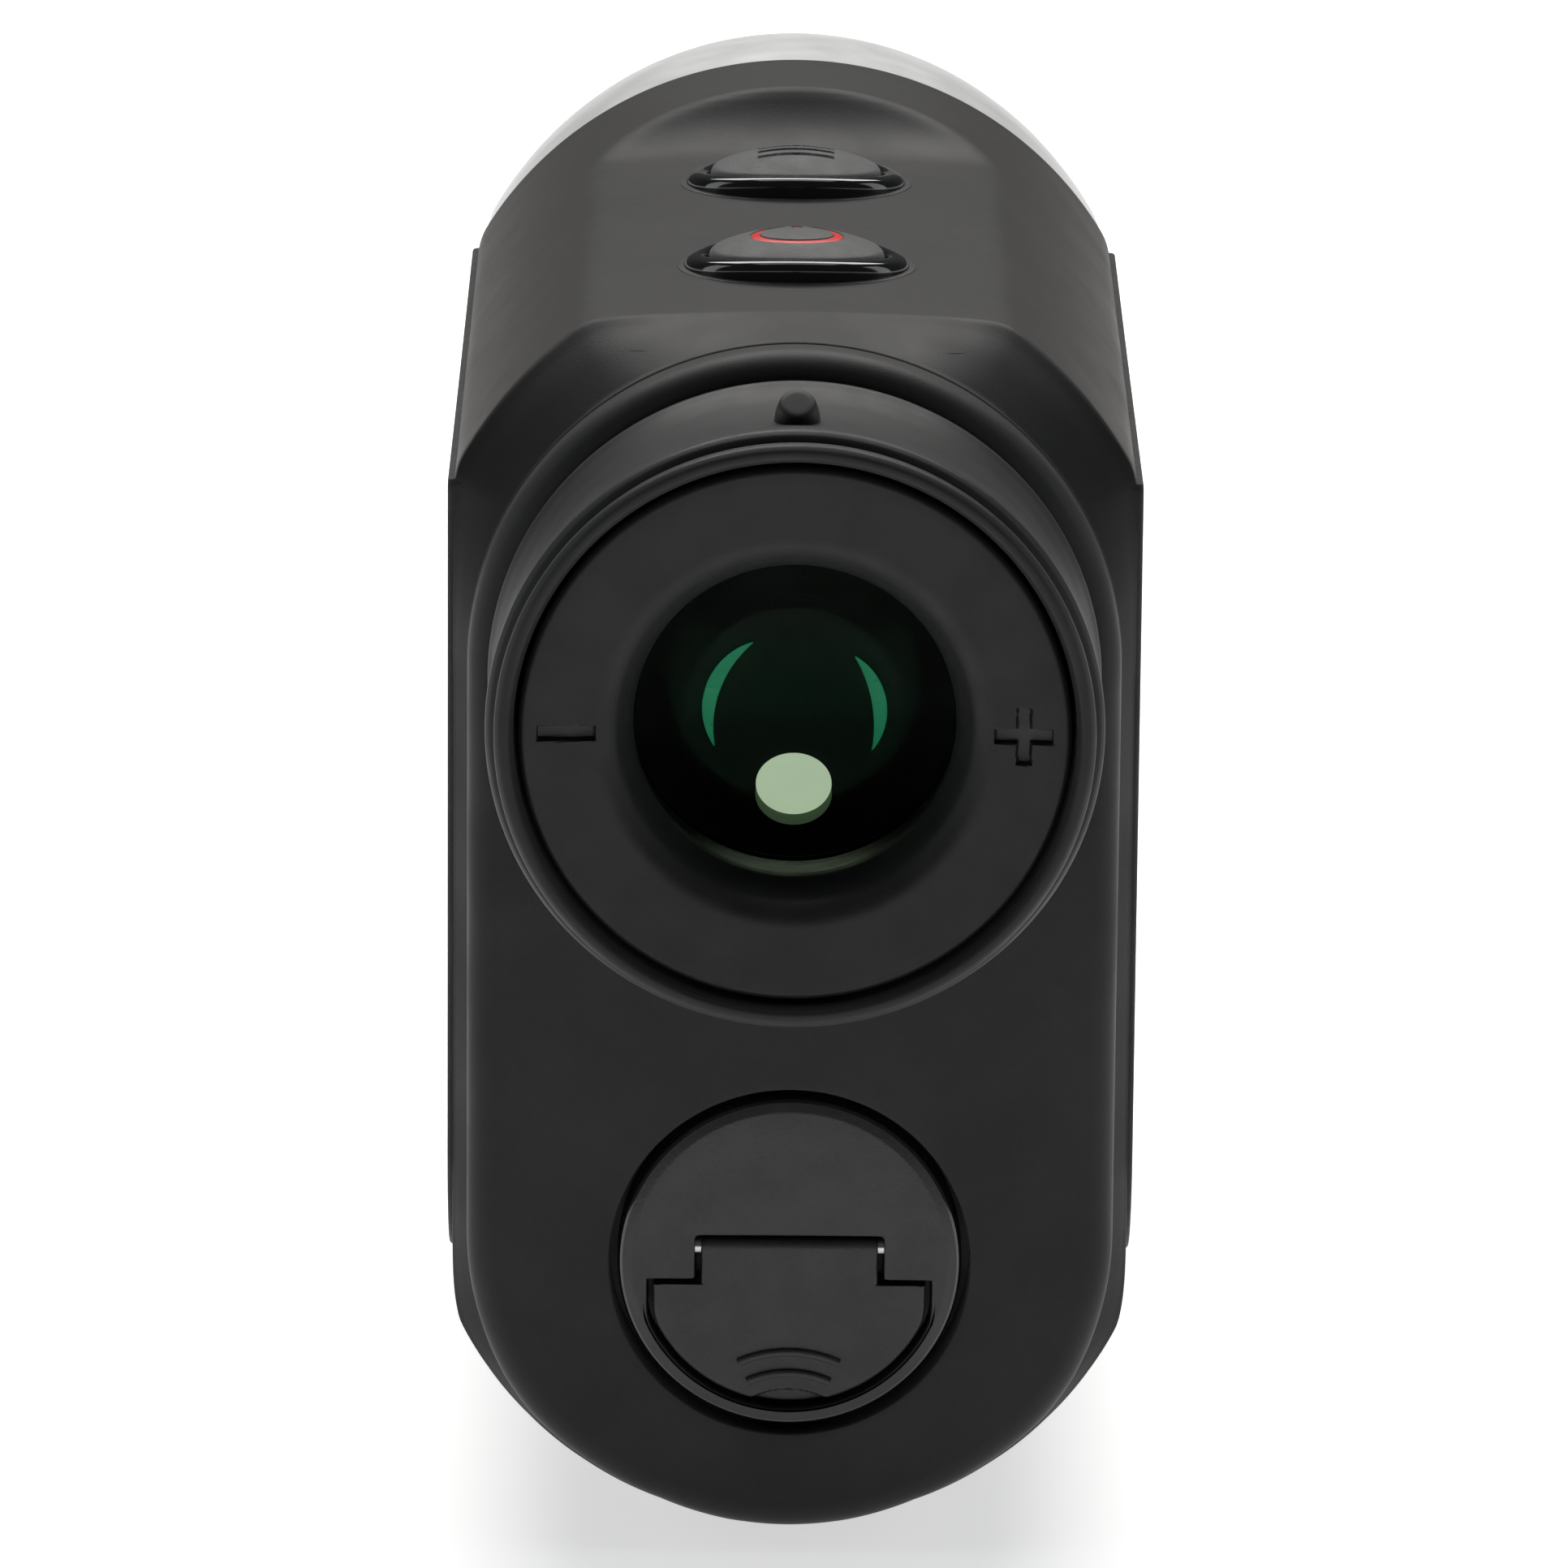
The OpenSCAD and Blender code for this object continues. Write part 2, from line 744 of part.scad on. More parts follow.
module cap_contact() {
    color("gold") in_frame() ring_y(6, 2, neck_end, neck_end + 0.4, -cell_drop);
}

module tripod_bush() {
    color("goldenrod") in_frame() translate([0, bush_y, -foot_drop]) difference() {
        cylinder(r = bush_r, h = thread_depth + 1.2);
        translate([0, 0, -1]) cylinder(r = thread_core_r, h = thread_depth + 1);
    }
}

rear_cover();
armour();
inner_shell();
side_panel(-1);  // left_panel
side_panel(1);  // right_panel
front_shell();
front_bezel();
eyepiece_tube();
eyepiece_face();
eyepiece_seal();
eyecup();
ocular_cell();
eye_lens();
ocular_spacer();
field_lens();
ocular_ring();
lcd_frame();
lcd_display();
prism_housing();
half_penta_prism();
roof_prism();
laser_diode();
objective_barrel();
objective_lens();
objective_ring();
receiver_barrel();
receiver_lens();
receiver_ring();
detector();
detector_board();
main_board();
board_chips();
button_board();
tact_switch(power_y);  // power_switch
tact_switch(mode_y);  // mode_switch
plunger(power_y);  // power_plunger
plunger(mode_y);  // mode_plunger
button_bezel(power_y);  // power_bezel
button_bezel(mode_y);  // mode_bezel
power_cap();
power_mark();
mode_cap();
battery_tube();
tube_screws();
contact_spring();
battery_cell();
battery_cap();
cap_seal();
cap_contact();
cap_tab();
tab_pin();
tripod_bush();
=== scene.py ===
"""Looks for a handheld laser rangefinder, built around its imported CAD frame.

Sizes are in millimetres in the optical frame: X to the right as the user sees it, Y towards
the target from the rear face, Z up from the eyepiece axis. Mould.place() turns them into the
CAD frame, in metres.
"""

from __future__ import annotations

import json
import logging
import math
from collections.abc import Callable
from dataclasses import dataclass, field
from enum import Enum

import bmesh
import bpy
import numpy as np
from mathutils import Matrix, Vector


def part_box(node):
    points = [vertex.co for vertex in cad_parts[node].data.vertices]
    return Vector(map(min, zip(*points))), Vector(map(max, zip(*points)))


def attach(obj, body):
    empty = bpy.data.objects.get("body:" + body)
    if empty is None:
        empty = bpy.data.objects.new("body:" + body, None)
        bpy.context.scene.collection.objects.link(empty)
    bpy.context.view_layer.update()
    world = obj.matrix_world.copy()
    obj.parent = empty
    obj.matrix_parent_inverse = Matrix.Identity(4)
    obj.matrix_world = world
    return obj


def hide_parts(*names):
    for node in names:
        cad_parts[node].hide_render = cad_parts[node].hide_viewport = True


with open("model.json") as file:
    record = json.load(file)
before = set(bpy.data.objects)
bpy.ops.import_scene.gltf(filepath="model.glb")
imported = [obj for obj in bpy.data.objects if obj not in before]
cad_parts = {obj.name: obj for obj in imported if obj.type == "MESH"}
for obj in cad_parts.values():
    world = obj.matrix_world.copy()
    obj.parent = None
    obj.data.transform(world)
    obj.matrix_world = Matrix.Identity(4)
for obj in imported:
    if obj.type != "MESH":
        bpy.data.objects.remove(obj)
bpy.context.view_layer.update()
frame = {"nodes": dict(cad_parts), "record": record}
LOG = logging.getLogger("rangefinder")
Colour = tuple[float, float, float]
Rows = list[tuple[np.ndarray | float, np.ndarray | float]]
Socket = bpy.types.NodeSocket
Chooser = Callable[[np.ndarray], np.ndarray]


class Slot(Enum):
    """The record's material slots."""

    SKIN = "rubber_skin"
    PANEL = "panel_rubber"
    EYECUP = "eyecup_rubber"
    SEAL = "seal_rubber"
    HOUSING = "housing_plastic"
    FACE = "face_plastic"
    CAP = "cap_plastic"
    BUTTON = "button_plastic"
    SWITCH = "switch_plastic"
    CHIP = "chip_black"
    GLOSS = "gloss_black"
    RED = "power_red"
    WRAP = "cell_wrap"
    BOARD = "circuit_board"
    SILVER = "silver_shell"
    ANODISED = "black_anodised"
    GOLD = "gold_can"
    STEEL = "steel"
    BRASS = "brass"
    COATED = "coated_glass"
    DARK_GLASS = "dark_glass"
    CLEAR_GLASS = "clear_glass"
    DISPLAY = "display_glass"


class Axis(Enum):
    """Which way a turned piece's axis points."""

    ALONG = "y"
    UP = "z"


# ---------------------------------------------------------------- finishes


@dataclass(frozen=True)
class Finish:
    """A moulded, painted or turned surface: two mottled tones, a fine grain and uneven gloss.

    The base colour is a noise of size `patch_mm`, with a share of a finer one, that mixes `colour`
    with `second`. The height is a fine noise of size `grain_mm` plus round cells of size
    `pebble_mm`, and roughness swings by `rough_swing` about `roughness`. A surface with a `glow`
    also gives off light in the colour `glow_tint`.
    """

    name: str
    colour: Colour
    second: Colour
    roughness: float
    patch_mm: float = 6.0
    grain_mm: float = 0.12
    grain_depth: float = 0.006
    pebble_mm: float = 0.0
    pebble_depth: float = 0.0
    rough_swing: float = 0.06
    metallic: float = 0.0
    specular: float = 0.5
    sheen: float = 0.0
    sheen_rough: float = 0.5
    sheen_tint: Colour = (1.0, 1.0, 1.0)
    coat: float = 0.0
    coat_rough: float = 0.1
    stretch: Colour = (1.0, 1.0, 1.0)
    glow: float = 0.0
    glow_tint: Colour = (1.0, 1.0, 1.0)

    def build(self) -> bpy.types.Material:
        """Makes the node material.

        Returns:
            The new material.
        """
        graph = Graph(self.name)
        shader = graph.shader
        shader.inputs["Metallic"].default_value = self.metallic
        shader.inputs["Specular IOR Level"].default_value = self.specular
        shader.inputs["Sheen Weight"].default_value = self.sheen
        shader.inputs["Sheen Roughness"].default_value = self.sheen_rough
        shader.inputs["Sheen Tint"].default_value = (*self.sheen_tint, 1.0)
        shader.inputs["Coat Weight"].default_value = self.coat
        shader.inputs["Coat Roughness"].default_value = self.coat_rough
        shader.inputs["Emission Color"].default_value = (*self.glow_tint, 1.0)
        shader.inputs["Emission Strength"].default_value = self.glow
        where = graph.where(self.stretch)
        broad = graph.noise(where, self.patch_mm, 3.0)
        fine = graph.noise(where, self.grain_mm * 2.5, 2.0)
        mixed = graph.blend_scalar(broad, fine, 0.35)
        graph.link(graph.ramp(mixed, self.colour, self.second), shader.inputs["Base Color"])
        smear = graph.noise(where, self.patch_mm * 0.6, 4.0)
        low, high = self.roughness - self.rough_swing, self.roughness + self.rough_swing
        graph.link(graph.span(smear, low, high), shader.inputs["Roughness"])
        normal = graph.bump(graph.noise(where, self.grain_mm, 2.0), self.grain_depth)
        if self.pebble_mm > 0:
            normal = graph.bump(graph.cells(where, self.pebble_mm), self.pebble_depth, normal)
        graph.link(normal, shader.inputs["Normal"])
        return graph.material


@dataclass(frozen=True)
class Glass:
    """A coated lens or prism: clear glass whose reflection is tinted by its coating.

    A faint noise varies the glass tone and the polish, so that no patch is perfectly even.
    """

    name: str
    colour: Colour
    tint: Colour
    ior: float = 1.52
    transmission: float = 1.0
    roughness: float = 0.02
    specular: float = 0.5

    def build(self) -> bpy.types.Material:
        """Makes the node material.

        Returns:
            The new material.
        """
        graph = Graph(self.name)
        shader = graph.shader
        shader.inputs["IOR"].default_value = self.ior
        shader.inputs["Transmission Weight"].default_value = self.transmission
        shader.inputs["Specular Tint"].default_value = (*self.tint, 1.0)
        shader.inputs["Specular IOR Level"].default_value = self.specular
        where = graph.where((1.0, 1.0, 1.0))
        tone = graph.noise(where, 5.0, 2.0)
        deeper = tuple(c * 0.9 for c in self.colour)
        graph.link(graph.ramp(tone, self.colour, deeper), shader.inputs["Base Color"])
        polish = graph.noise(where, 2.0, 3.0)
        graph.link(graph.span(polish, self.roughness * 0.6, self.roughness * 1.4), shader.inputs["Roughness"])
        return graph.material


@dataclass(frozen=True)
class Board:
    """A circuit board: green mask with darker tracks in a fine square lattice."""

    name: str
    mask: Colour
    track: Colour
    pitch_mm: float = 1.1

    def build(self) -> bpy.types.Material:
        """Makes the node material.

        Returns:
            The new material.
        """
        graph = Graph(self.name)
        brick = graph.node("ShaderNodeTexBrick")
        brick.inputs["Scale"].default_value = 1000.0 / self.pitch_mm
        brick.inputs["Mortar Size"].default_value = 0.06
        brick.inputs["Color1"].default_value = (*self.mask, 1.0)
        brick.inputs["Color2"].default_value = (*(c * 0.8 for c in self.mask), 1.0)
        brick.inputs["Mortar"].default_value = (*self.track, 1.0)
        where = graph.where((1.0, 1.0, 1.0))
        graph.link(where, brick.inputs["Vector"])
        graph.link(brick.outputs["Color"], graph.shader.inputs["Base Color"])
        graph.link(graph.span(graph.noise(where, 3.0, 2.0), 0.3, 0.45), graph.shader.inputs["Roughness"])
        graph.link(graph.bump(brick.outputs["Fac"], 0.02), graph.shader.inputs["Normal"])
        return graph.material


class Graph:
    """A new node material, with small helpers that add its nodes."""

    def __init__(self, name: str) -> None:
        """Makes the material and finds its shader node.

        Args:
            name: The material's name.
        """
        self.material = bpy.data.materials.new(name)
        self.material.use_nodes = True
        self.tree = self.material.node_tree
        self.shader = self.tree.nodes["Principled BSDF"]

    def node(self, kind: str) -> bpy.types.Node:
        """Adds one node of that kind and returns it."""
        return self.tree.nodes.new(kind)

    def link(self, source: Socket, target: Socket) -> None:
        """Joins two sockets."""
        self.tree.links.new(source, target)

    def where(self, stretch: Colour) -> Socket:
        """Object coordinates, scaled by `stretch` on each axis.

        Args:
            stretch: The scale along X, Y and Z.

        Returns:
            The vector socket.
        """
        coordinates = self.node("ShaderNodeTexCoord")
        mapping = self.node("ShaderNodeMapping")
        mapping.inputs["Scale"].default_value = stretch
        self.link(coordinates.outputs["Object"], mapping.inputs["Vector"])
        return mapping.outputs["Vector"]

    def noise(self, where: Socket, size_mm: float, detail: float) -> Socket:
        """A noise whose features are about `size_mm` across.

        Args:
            where: The coordinates.
            size_mm: The feature size.
            detail: The number of finer octaves.

        Returns:
            The factor socket.
        """
        texture = self.node("ShaderNodeTexNoise")
        texture.inputs["Scale"].default_value = 1000.0 / size_mm
        texture.inputs["Detail"].default_value = detail
        self.link(where, texture.inputs["Vector"])
        return texture.outputs["Fac"]

    def cells(self, where: Socket, size_mm: float) -> Socket:
        """The smooth distance to the nearest of many scattered points, `size_mm` apart.

        Args:
            where: The coordinates.
            size_mm: The cell size.

        Returns:
            The distance socket.
        """
        texture = self.node("ShaderNodeTexVoronoi")
        texture.feature = "SMOOTH_F1"
        texture.inputs["Scale"].default_value = 1000.0 / size_mm
        self.link(where, texture.inputs["Vector"])
        return texture.outputs["Distance"]

    def span(self, value: Socket, low: float, high: float) -> Socket:
        """Maps the middle of a noise's range to low..high.

        Args:
            value: The noise.
            low: The value at 0.3.
            high: The value at 0.7.

        Returns:
            The mapped socket.
        """
        mapped = self.node("ShaderNodeMapRange")
        mapped.inputs["From Min"].default_value = 0.3
        mapped.inputs["From Max"].default_value = 0.7
        mapped.inputs["To Min"].default_value = low
        mapped.inputs["To Max"].default_value = high
        self.link(value, mapped.inputs["Value"])
        return mapped.outputs["Result"]

    def blend_scalar(self, a: Socket, b: Socket, share: float) -> Socket:
        """Mixes two values, `share` of the second.

        Args:
            a: The first value.
            b: The second value.
            share: How much of the second is used.

        Returns:
            The mixed socket.
        """
        mixed = self.node("ShaderNodeMix")
        mixed.data_type = "FLOAT"
        mixed.inputs[0].default_value = share
        self.link(a, mixed.inputs[2])
        self.link(b, mixed.inputs[3])
        return mixed.outputs[0]

    def ramp(self, value: Socket, first: Colour, second: Colour) -> Socket:
        """Colours a noise from one tone to another.

        Args:
            value: The noise.
            first: The tone at its low end.
            second: The tone at its high end.

        Returns:
            The colour socket.
        """
        ramp = self.node("ShaderNodeValToRGB")
        ramp.color_ramp.elements[0].position = 0.32
        ramp.color_ramp.elements[0].color = (*first, 1.0)
        ramp.color_ramp.elements[1].position = 0.68
        ramp.color_ramp.elements[1].color = (*second, 1.0)
        self.link(value, ramp.inputs["Fac"])
        return ramp.outputs["Color"]

    def bump(self, height: Socket, depth_mm: float, below: Socket | None = None) -> Socket:
        """Turns a height into a normal.

        Args:
            height: The height, from 0 to 1.
            depth_mm: How deep the full range is.
            below: A normal that this one is added to.

        Returns:
            The normal socket.
        """
        bump = self.node("ShaderNodeBump")
        bump.inputs["Strength"].default_value = 1.0
        bump.inputs["Distance"].default_value = depth_mm / 1000.0
        self.link(height, bump.inputs["Height"])
        if below is not None:
            self.link(below, bump.inputs["Normal"])
        return bump.outputs["Normal"]


FINISHES: dict[Slot, Finish | Glass | Board] = {
    Slot.SKIN: Finish(
        "soft_touch_rubber", (0.0085, 0.0089, 0.0098), (0.012, 0.0124, 0.0135), 0.56, patch_mm=9.0,
        grain_mm=0.16, grain_depth=0.010, rough_swing=0.05, specular=0.30, sheen=0.07, sheen_rough=0.45,
        sheen_tint=(1.0, 0.93, 0.86),
    ),
    Slot.PANEL: Finish(
        "ribbed_panel_rubber", (0.015, 0.0155, 0.017), (0.020, 0.0205, 0.022), 0.66, patch_mm=7.0,
        grain_mm=0.14, grain_depth=0.012, pebble_mm=0.9, pebble_depth=0.05, specular=0.35, sheen=0.08,
    ),
    Slot.EYECUP: Finish(
        "eyecup_rubber", (0.010, 0.0104, 0.0112), (0.014, 0.0144, 0.0152), 0.52, patch_mm=6.0, grain_mm=0.12,
        grain_depth=0.006, specular=0.32, sheen=0.05, sheen_rough=0.4,
    ),
    Slot.SEAL: Finish(
        "seal_rubber", (0.010, 0.010, 0.011), (0.014, 0.014, 0.015), 0.5, patch_mm=2.0, grain_mm=0.1,
        grain_depth=0.003,
    ),
    Slot.HOUSING: Finish(
        "housing_plastic", (0.012, 0.012, 0.013), (0.018, 0.018, 0.019), 0.48, patch_mm=5.0, grain_mm=0.1,
        grain_depth=0.004,
    ),
    Slot.FACE: Finish(
        "face_ring_plastic", (0.0095, 0.0097, 0.0105), (0.013, 0.0133, 0.014), 0.48, patch_mm=4.0,
        grain_mm=0.10, grain_depth=0.006, specular=0.30,
    ),
    Slot.CAP: Finish(
        "grained_cap_plastic", (0.016, 0.0162, 0.0168), (0.024, 0.0242, 0.025), 0.46, patch_mm=4.0,
        grain_mm=0.14, grain_depth=0.014, pebble_mm=0.22, pebble_depth=0.010, specular=0.5,
    ),
    Slot.BUTTON: Finish(
        "textured_button_plastic", (0.050, 0.050, 0.051), (0.075, 0.075, 0.076), 0.62, patch_mm=2.0,
        grain_mm=0.12, grain_depth=0.016, pebble_mm=0.18, pebble_depth=0.014, specular=0.4, sheen=0.15,
    ),
    Slot.SWITCH: Finish(
        "switch_plastic", (0.35, 0.34, 0.32), (0.42, 0.41, 0.39), 0.4, patch_mm=1.5, grain_mm=0.08,
        grain_depth=0.002,
    ),
    Slot.CHIP: Finish(
        "chip_resin", (0.02, 0.02, 0.022), (0.03, 0.03, 0.032), 0.55, patch_mm=1.0, grain_mm=0.06,
        grain_depth=0.004,
    ),
    Slot.GLOSS: Finish(
        "gloss_black_plastic", (0.006, 0.006, 0.0065), (0.008, 0.008, 0.0085), 0.12, patch_mm=3.0,
        grain_mm=0.3, grain_depth=0.0006, rough_swing=0.03, specular=0.55, coat=0.6, coat_rough=0.04,
    ),
    Slot.RED: Finish(
        "red_mark_fill", (0.62, 0.016, 0.012), (0.74, 0.026, 0.018), 0.38, patch_mm=0.8, grain_mm=0.08,
        grain_depth=0.003,
    ),
    Slot.WRAP: Finish(
        "cell_wrap", (0.02, 0.07, 0.20), (0.03, 0.09, 0.25), 0.3, patch_mm=5.0, grain_mm=0.2,
        grain_depth=0.001, coat=0.3,
    ),
    Slot.BOARD: Board("circuit_board", (0.012, 0.10, 0.035), (0.05, 0.22, 0.08)),
    Slot.SILVER: Finish(
        "satin_silver_paint", (0.72, 0.725, 0.725), (0.78, 0.785, 0.785), 0.40, patch_mm=5.0, grain_mm=0.07,
        grain_depth=0.0015, rough_swing=0.04, metallic=0.35, specular=0.5, coat=0.15, coat_rough=0.15,
    ),
    Slot.ANODISED: Finish(
        "black_anodised_metal", (0.010, 0.010, 0.011), (0.016, 0.016, 0.017), 0.34, patch_mm=3.0,
        grain_mm=0.12, grain_depth=0.004, rough_swing=0.08, specular=0.6, stretch=(1.0, 6.0, 1.0),
    ),
    Slot.GOLD: Finish(
        "gold_plate", (0.85, 0.58, 0.20), (0.90, 0.66, 0.28), 0.25, patch_mm=1.5, grain_mm=0.08,
        grain_depth=0.001, metallic=1.0,
    ),
    Slot.STEEL: Finish(
        "plated_steel", (0.55, 0.55, 0.54), (0.66, 0.66, 0.65), 0.28, patch_mm=1.5, grain_mm=0.08,
        grain_depth=0.001, metallic=1.0,
    ),
    Slot.BRASS: Finish(
        "turned_brass", (0.62, 0.44, 0.17), (0.72, 0.53, 0.22), 0.3, patch_mm=1.5, grain_mm=0.1,
        grain_depth=0.002, metallic=1.0, stretch=(1.0, 1.0, 5.0),
    ),
    Slot.COATED: Glass("green_coated_glass", (0.72, 0.80, 0.76), (0.012, 0.06, 0.03), ior=1.5, specular=0.03),
    Slot.DARK_GLASS: Glass(
        "dark_filter_glass", (0.10, 0.015, 0.03), (0.75, 0.35, 1.0), ior=1.6, transmission=0.7, specular=0.4,
    ),
    Slot.CLEAR_GLASS: Glass("prism_glass", (0.92, 0.96, 0.96), (1.0, 1.0, 1.0), ior=1.52),
    Slot.DISPLAY: Glass("display_glass", (0.55, 0.62, 0.60), (0.9, 0.95, 1.0), ior=1.5, roughness=0.05),
}


# Painted light and shade for the view into the eyepiece: the glowing finishes below are no lamps but stand
# for the lit field, its echo and lens glints, and the near-black one stands for the shade behind them.
PAINTED_FIELD_LIGHT = Finish(
    "painted_field_light", (0.60, 0.72, 0.50), (0.66, 0.78, 0.56), 0.5, patch_mm=3.0, glow=0.62,
    glow_tint=(0.80, 0.93, 0.66),
)
# Painted reflection: a faint glow for a ghost echo of the lit field inside the eyepiece.
PAINTED_ECHO_LIGHT = Finish(
    "painted_echo_light", (0.02, 0.05, 0.02), (0.03, 0.07, 0.03), 0.5, patch_mm=1.0, glow=0.07,
    glow_tint=(0.55, 0.85, 0.45),
)
# Painted glint: a green glow on the lens edges that stands for light caught in the coating.
PAINTED_GLINT = Finish(
    "painted_green_glint", (0.0, 0.10, 0.05), (0.0, 0.16, 0.08), 0.3, patch_mm=1.5, glow=0.13,
    glow_tint=(0.0, 1.0, 0.42),
)
# Painted shade: a near-black finish for a disc that stands in for the dark inside of the optics.
PAINTED_SHADE = Finish(
    "painted_shade_black", (0.0015, 0.0015, 0.0015), (0.0025, 0.0022, 0.002), 0.5, patch_mm=2.0,
    specular=0.1,
)
PALE_FLOOR = Finish(
    "pale_floor", (0.80, 0.80, 0.80), (0.82, 0.82, 0.82), 0.8, patch_mm=60.0, grain_mm=2.0,
    grain_depth=0.0, specular=0.2, glow=0.6,
)


class Wardrobe:
    """Builds each finish once and hands it out."""

    def __init__(self) -> None:
        """Starts with nothing built."""
        self.made: dict[Slot, bpy.types.Material] = {}

    def get(self, slot: Slot) -> bpy.types.Material:
        """Returns the slot's material, built on first use."""
        if slot not in self.made:
            self.made[slot] = FINISHES[slot].build()
        return self.made[slot]


# ---------------------------------------------------------------- surfaces


@dataclass
class Patch:
    """A grid of points [rows, columns, 3] in millimetres; `wrap` joins its last column to its first."""

    points: np.ndarray
    wrap: bool = True

    def quads(self, first: int) -> np.ndarray:
        """The grid's faces, four vertex numbers each.

        Args:
            first: The number of the grid's first vertex.

        Returns:
            An array [faces, 4].
        """
        rows, columns = self.points.shape[:2]
        across = columns if self.wrap else columns - 1
        i, j = np.meshgrid(np.arange(rows - 1), np.arange(across), indexing="ij")
        low, high, k = i * columns, (i + 1) * columns, (j + 1) % columns
        return np.stack([low + j, low + k, high + k, high + j], -1).reshape(-1, 4) + first


def soft_min(a: np.ndarray, b: np.ndarray, soft: float) -> np.ndarray:
    """The smaller of a and b, with their crossing rounded over a band `soft` wide.

    It is min(a, b) less a quarter of soft times the square of how far inside the band they are.

    Args:
        a: The first values.
        b: The second values.
        soft: The width of the rounded band.

    Returns:
        The rounded minimum.
    """
    inside = np.clip(soft - np.abs(a - b), 0, None) / soft
    return np.minimum(a, b) - inside * inside * soft / 4


def ease(x: np.ndarray) -> np.ndarray:
    """A smooth step from 0 to 1 as x goes from 0 to 1: 3x squared less 2x cubed."""
    x = np.clip(x, 0, 1)
    return x * x * (3 - 2 * x)


def soften(path: list[tuple[float, float]], reach: float | list[float], steps: int = 5) -> np.ndarray:
    """Rounds a closed path's corners: each corner becomes a parabola between points `reach` from it.

    The parabola at corner P between A and B is (1-t)^2 A + 2t(1-t) P + t^2 B. One more point just
    outside each end keeps the flats flat under smooth shading.

    Args:
        path: The corners, as (radius, station) pairs.
        reach: How far each rounding reaches along its two sides.
        steps: The number of points on each rounding.

    Returns:
        The rounded path [n, 2], closed.
    """
    p = np.array(path, float)
    before, after = np.roll(p, 1, 0) - p, np.roll(p, -1, 0) - p
    len_b = np.maximum(np.linalg.norm(before, axis=1), 1e-6)
    len_a = np.maximum(np.linalg.norm(after, axis=1), 1e-6)
    cut = np.minimum(np.broadcast_to(np.array(reach, float), len_a.shape), 0.4 * np.minimum(len_a, len_b))
    a, b = before / len_b[:, None] * cut[:, None], after / len_a[:, None] * cut[:, None]
    t = np.linspace(0, 1, steps)[None, :, None]
    curve = p[:, None] + (1 - t) ** 2 * a[:, None] + t**2 * b[:, None]
    full = np.concatenate([(p + 1.2 * a)[:, None], curve, (p + 1.2 * b)[:, None]], 1).reshape(-1, 2)
    return np.concatenate([full, full[:1]])


def turned(
    path: np.ndarray, centre: tuple[float, float] = (0.0, 0.0), columns: int = 192,
    axis: Axis = Axis.ALONG,
) -> Patch:
    """Carries a profile of (radius, station) round an axis.

    A point is radius times (cos a, sin a) across the axis and its station along it.

    Args:
        path: The profile [n, 2].
        centre: The axis: (x, z) for an axis along Y, (x, y) for one that points up.
        columns: The number of steps round.
        axis: Which way the axis points.

    Returns:
        The surface.
    """
    angle = np.linspace(0, 2 * np.pi, columns, endpoint=False)
    r, s = path[:, :1], np.repeat(path[:, 1:2], columns, 1)
    u, v = centre[0] + r * np.cos(angle), centre[1] + r * np.sin(angle)
    return Patch(np.stack([u, s, v] if axis is Axis.ALONG else [u, v, s], -1))


def swept(sections: np.ndarray) -> Patch:
    """Closes the ends of a bar given as sections [along, around, 3] by drawing each end to its middle.

    Args:
        sections: The closed sections, one after the other.

    Returns:
        The surface.
    """
    ends = [np.repeat(s.mean(0, keepdims=True), s.shape[0], 0)[None] for s in (sections[0], sections[-1])]
    return Patch(np.concatenate([ends[0], sections, ends[1]]))


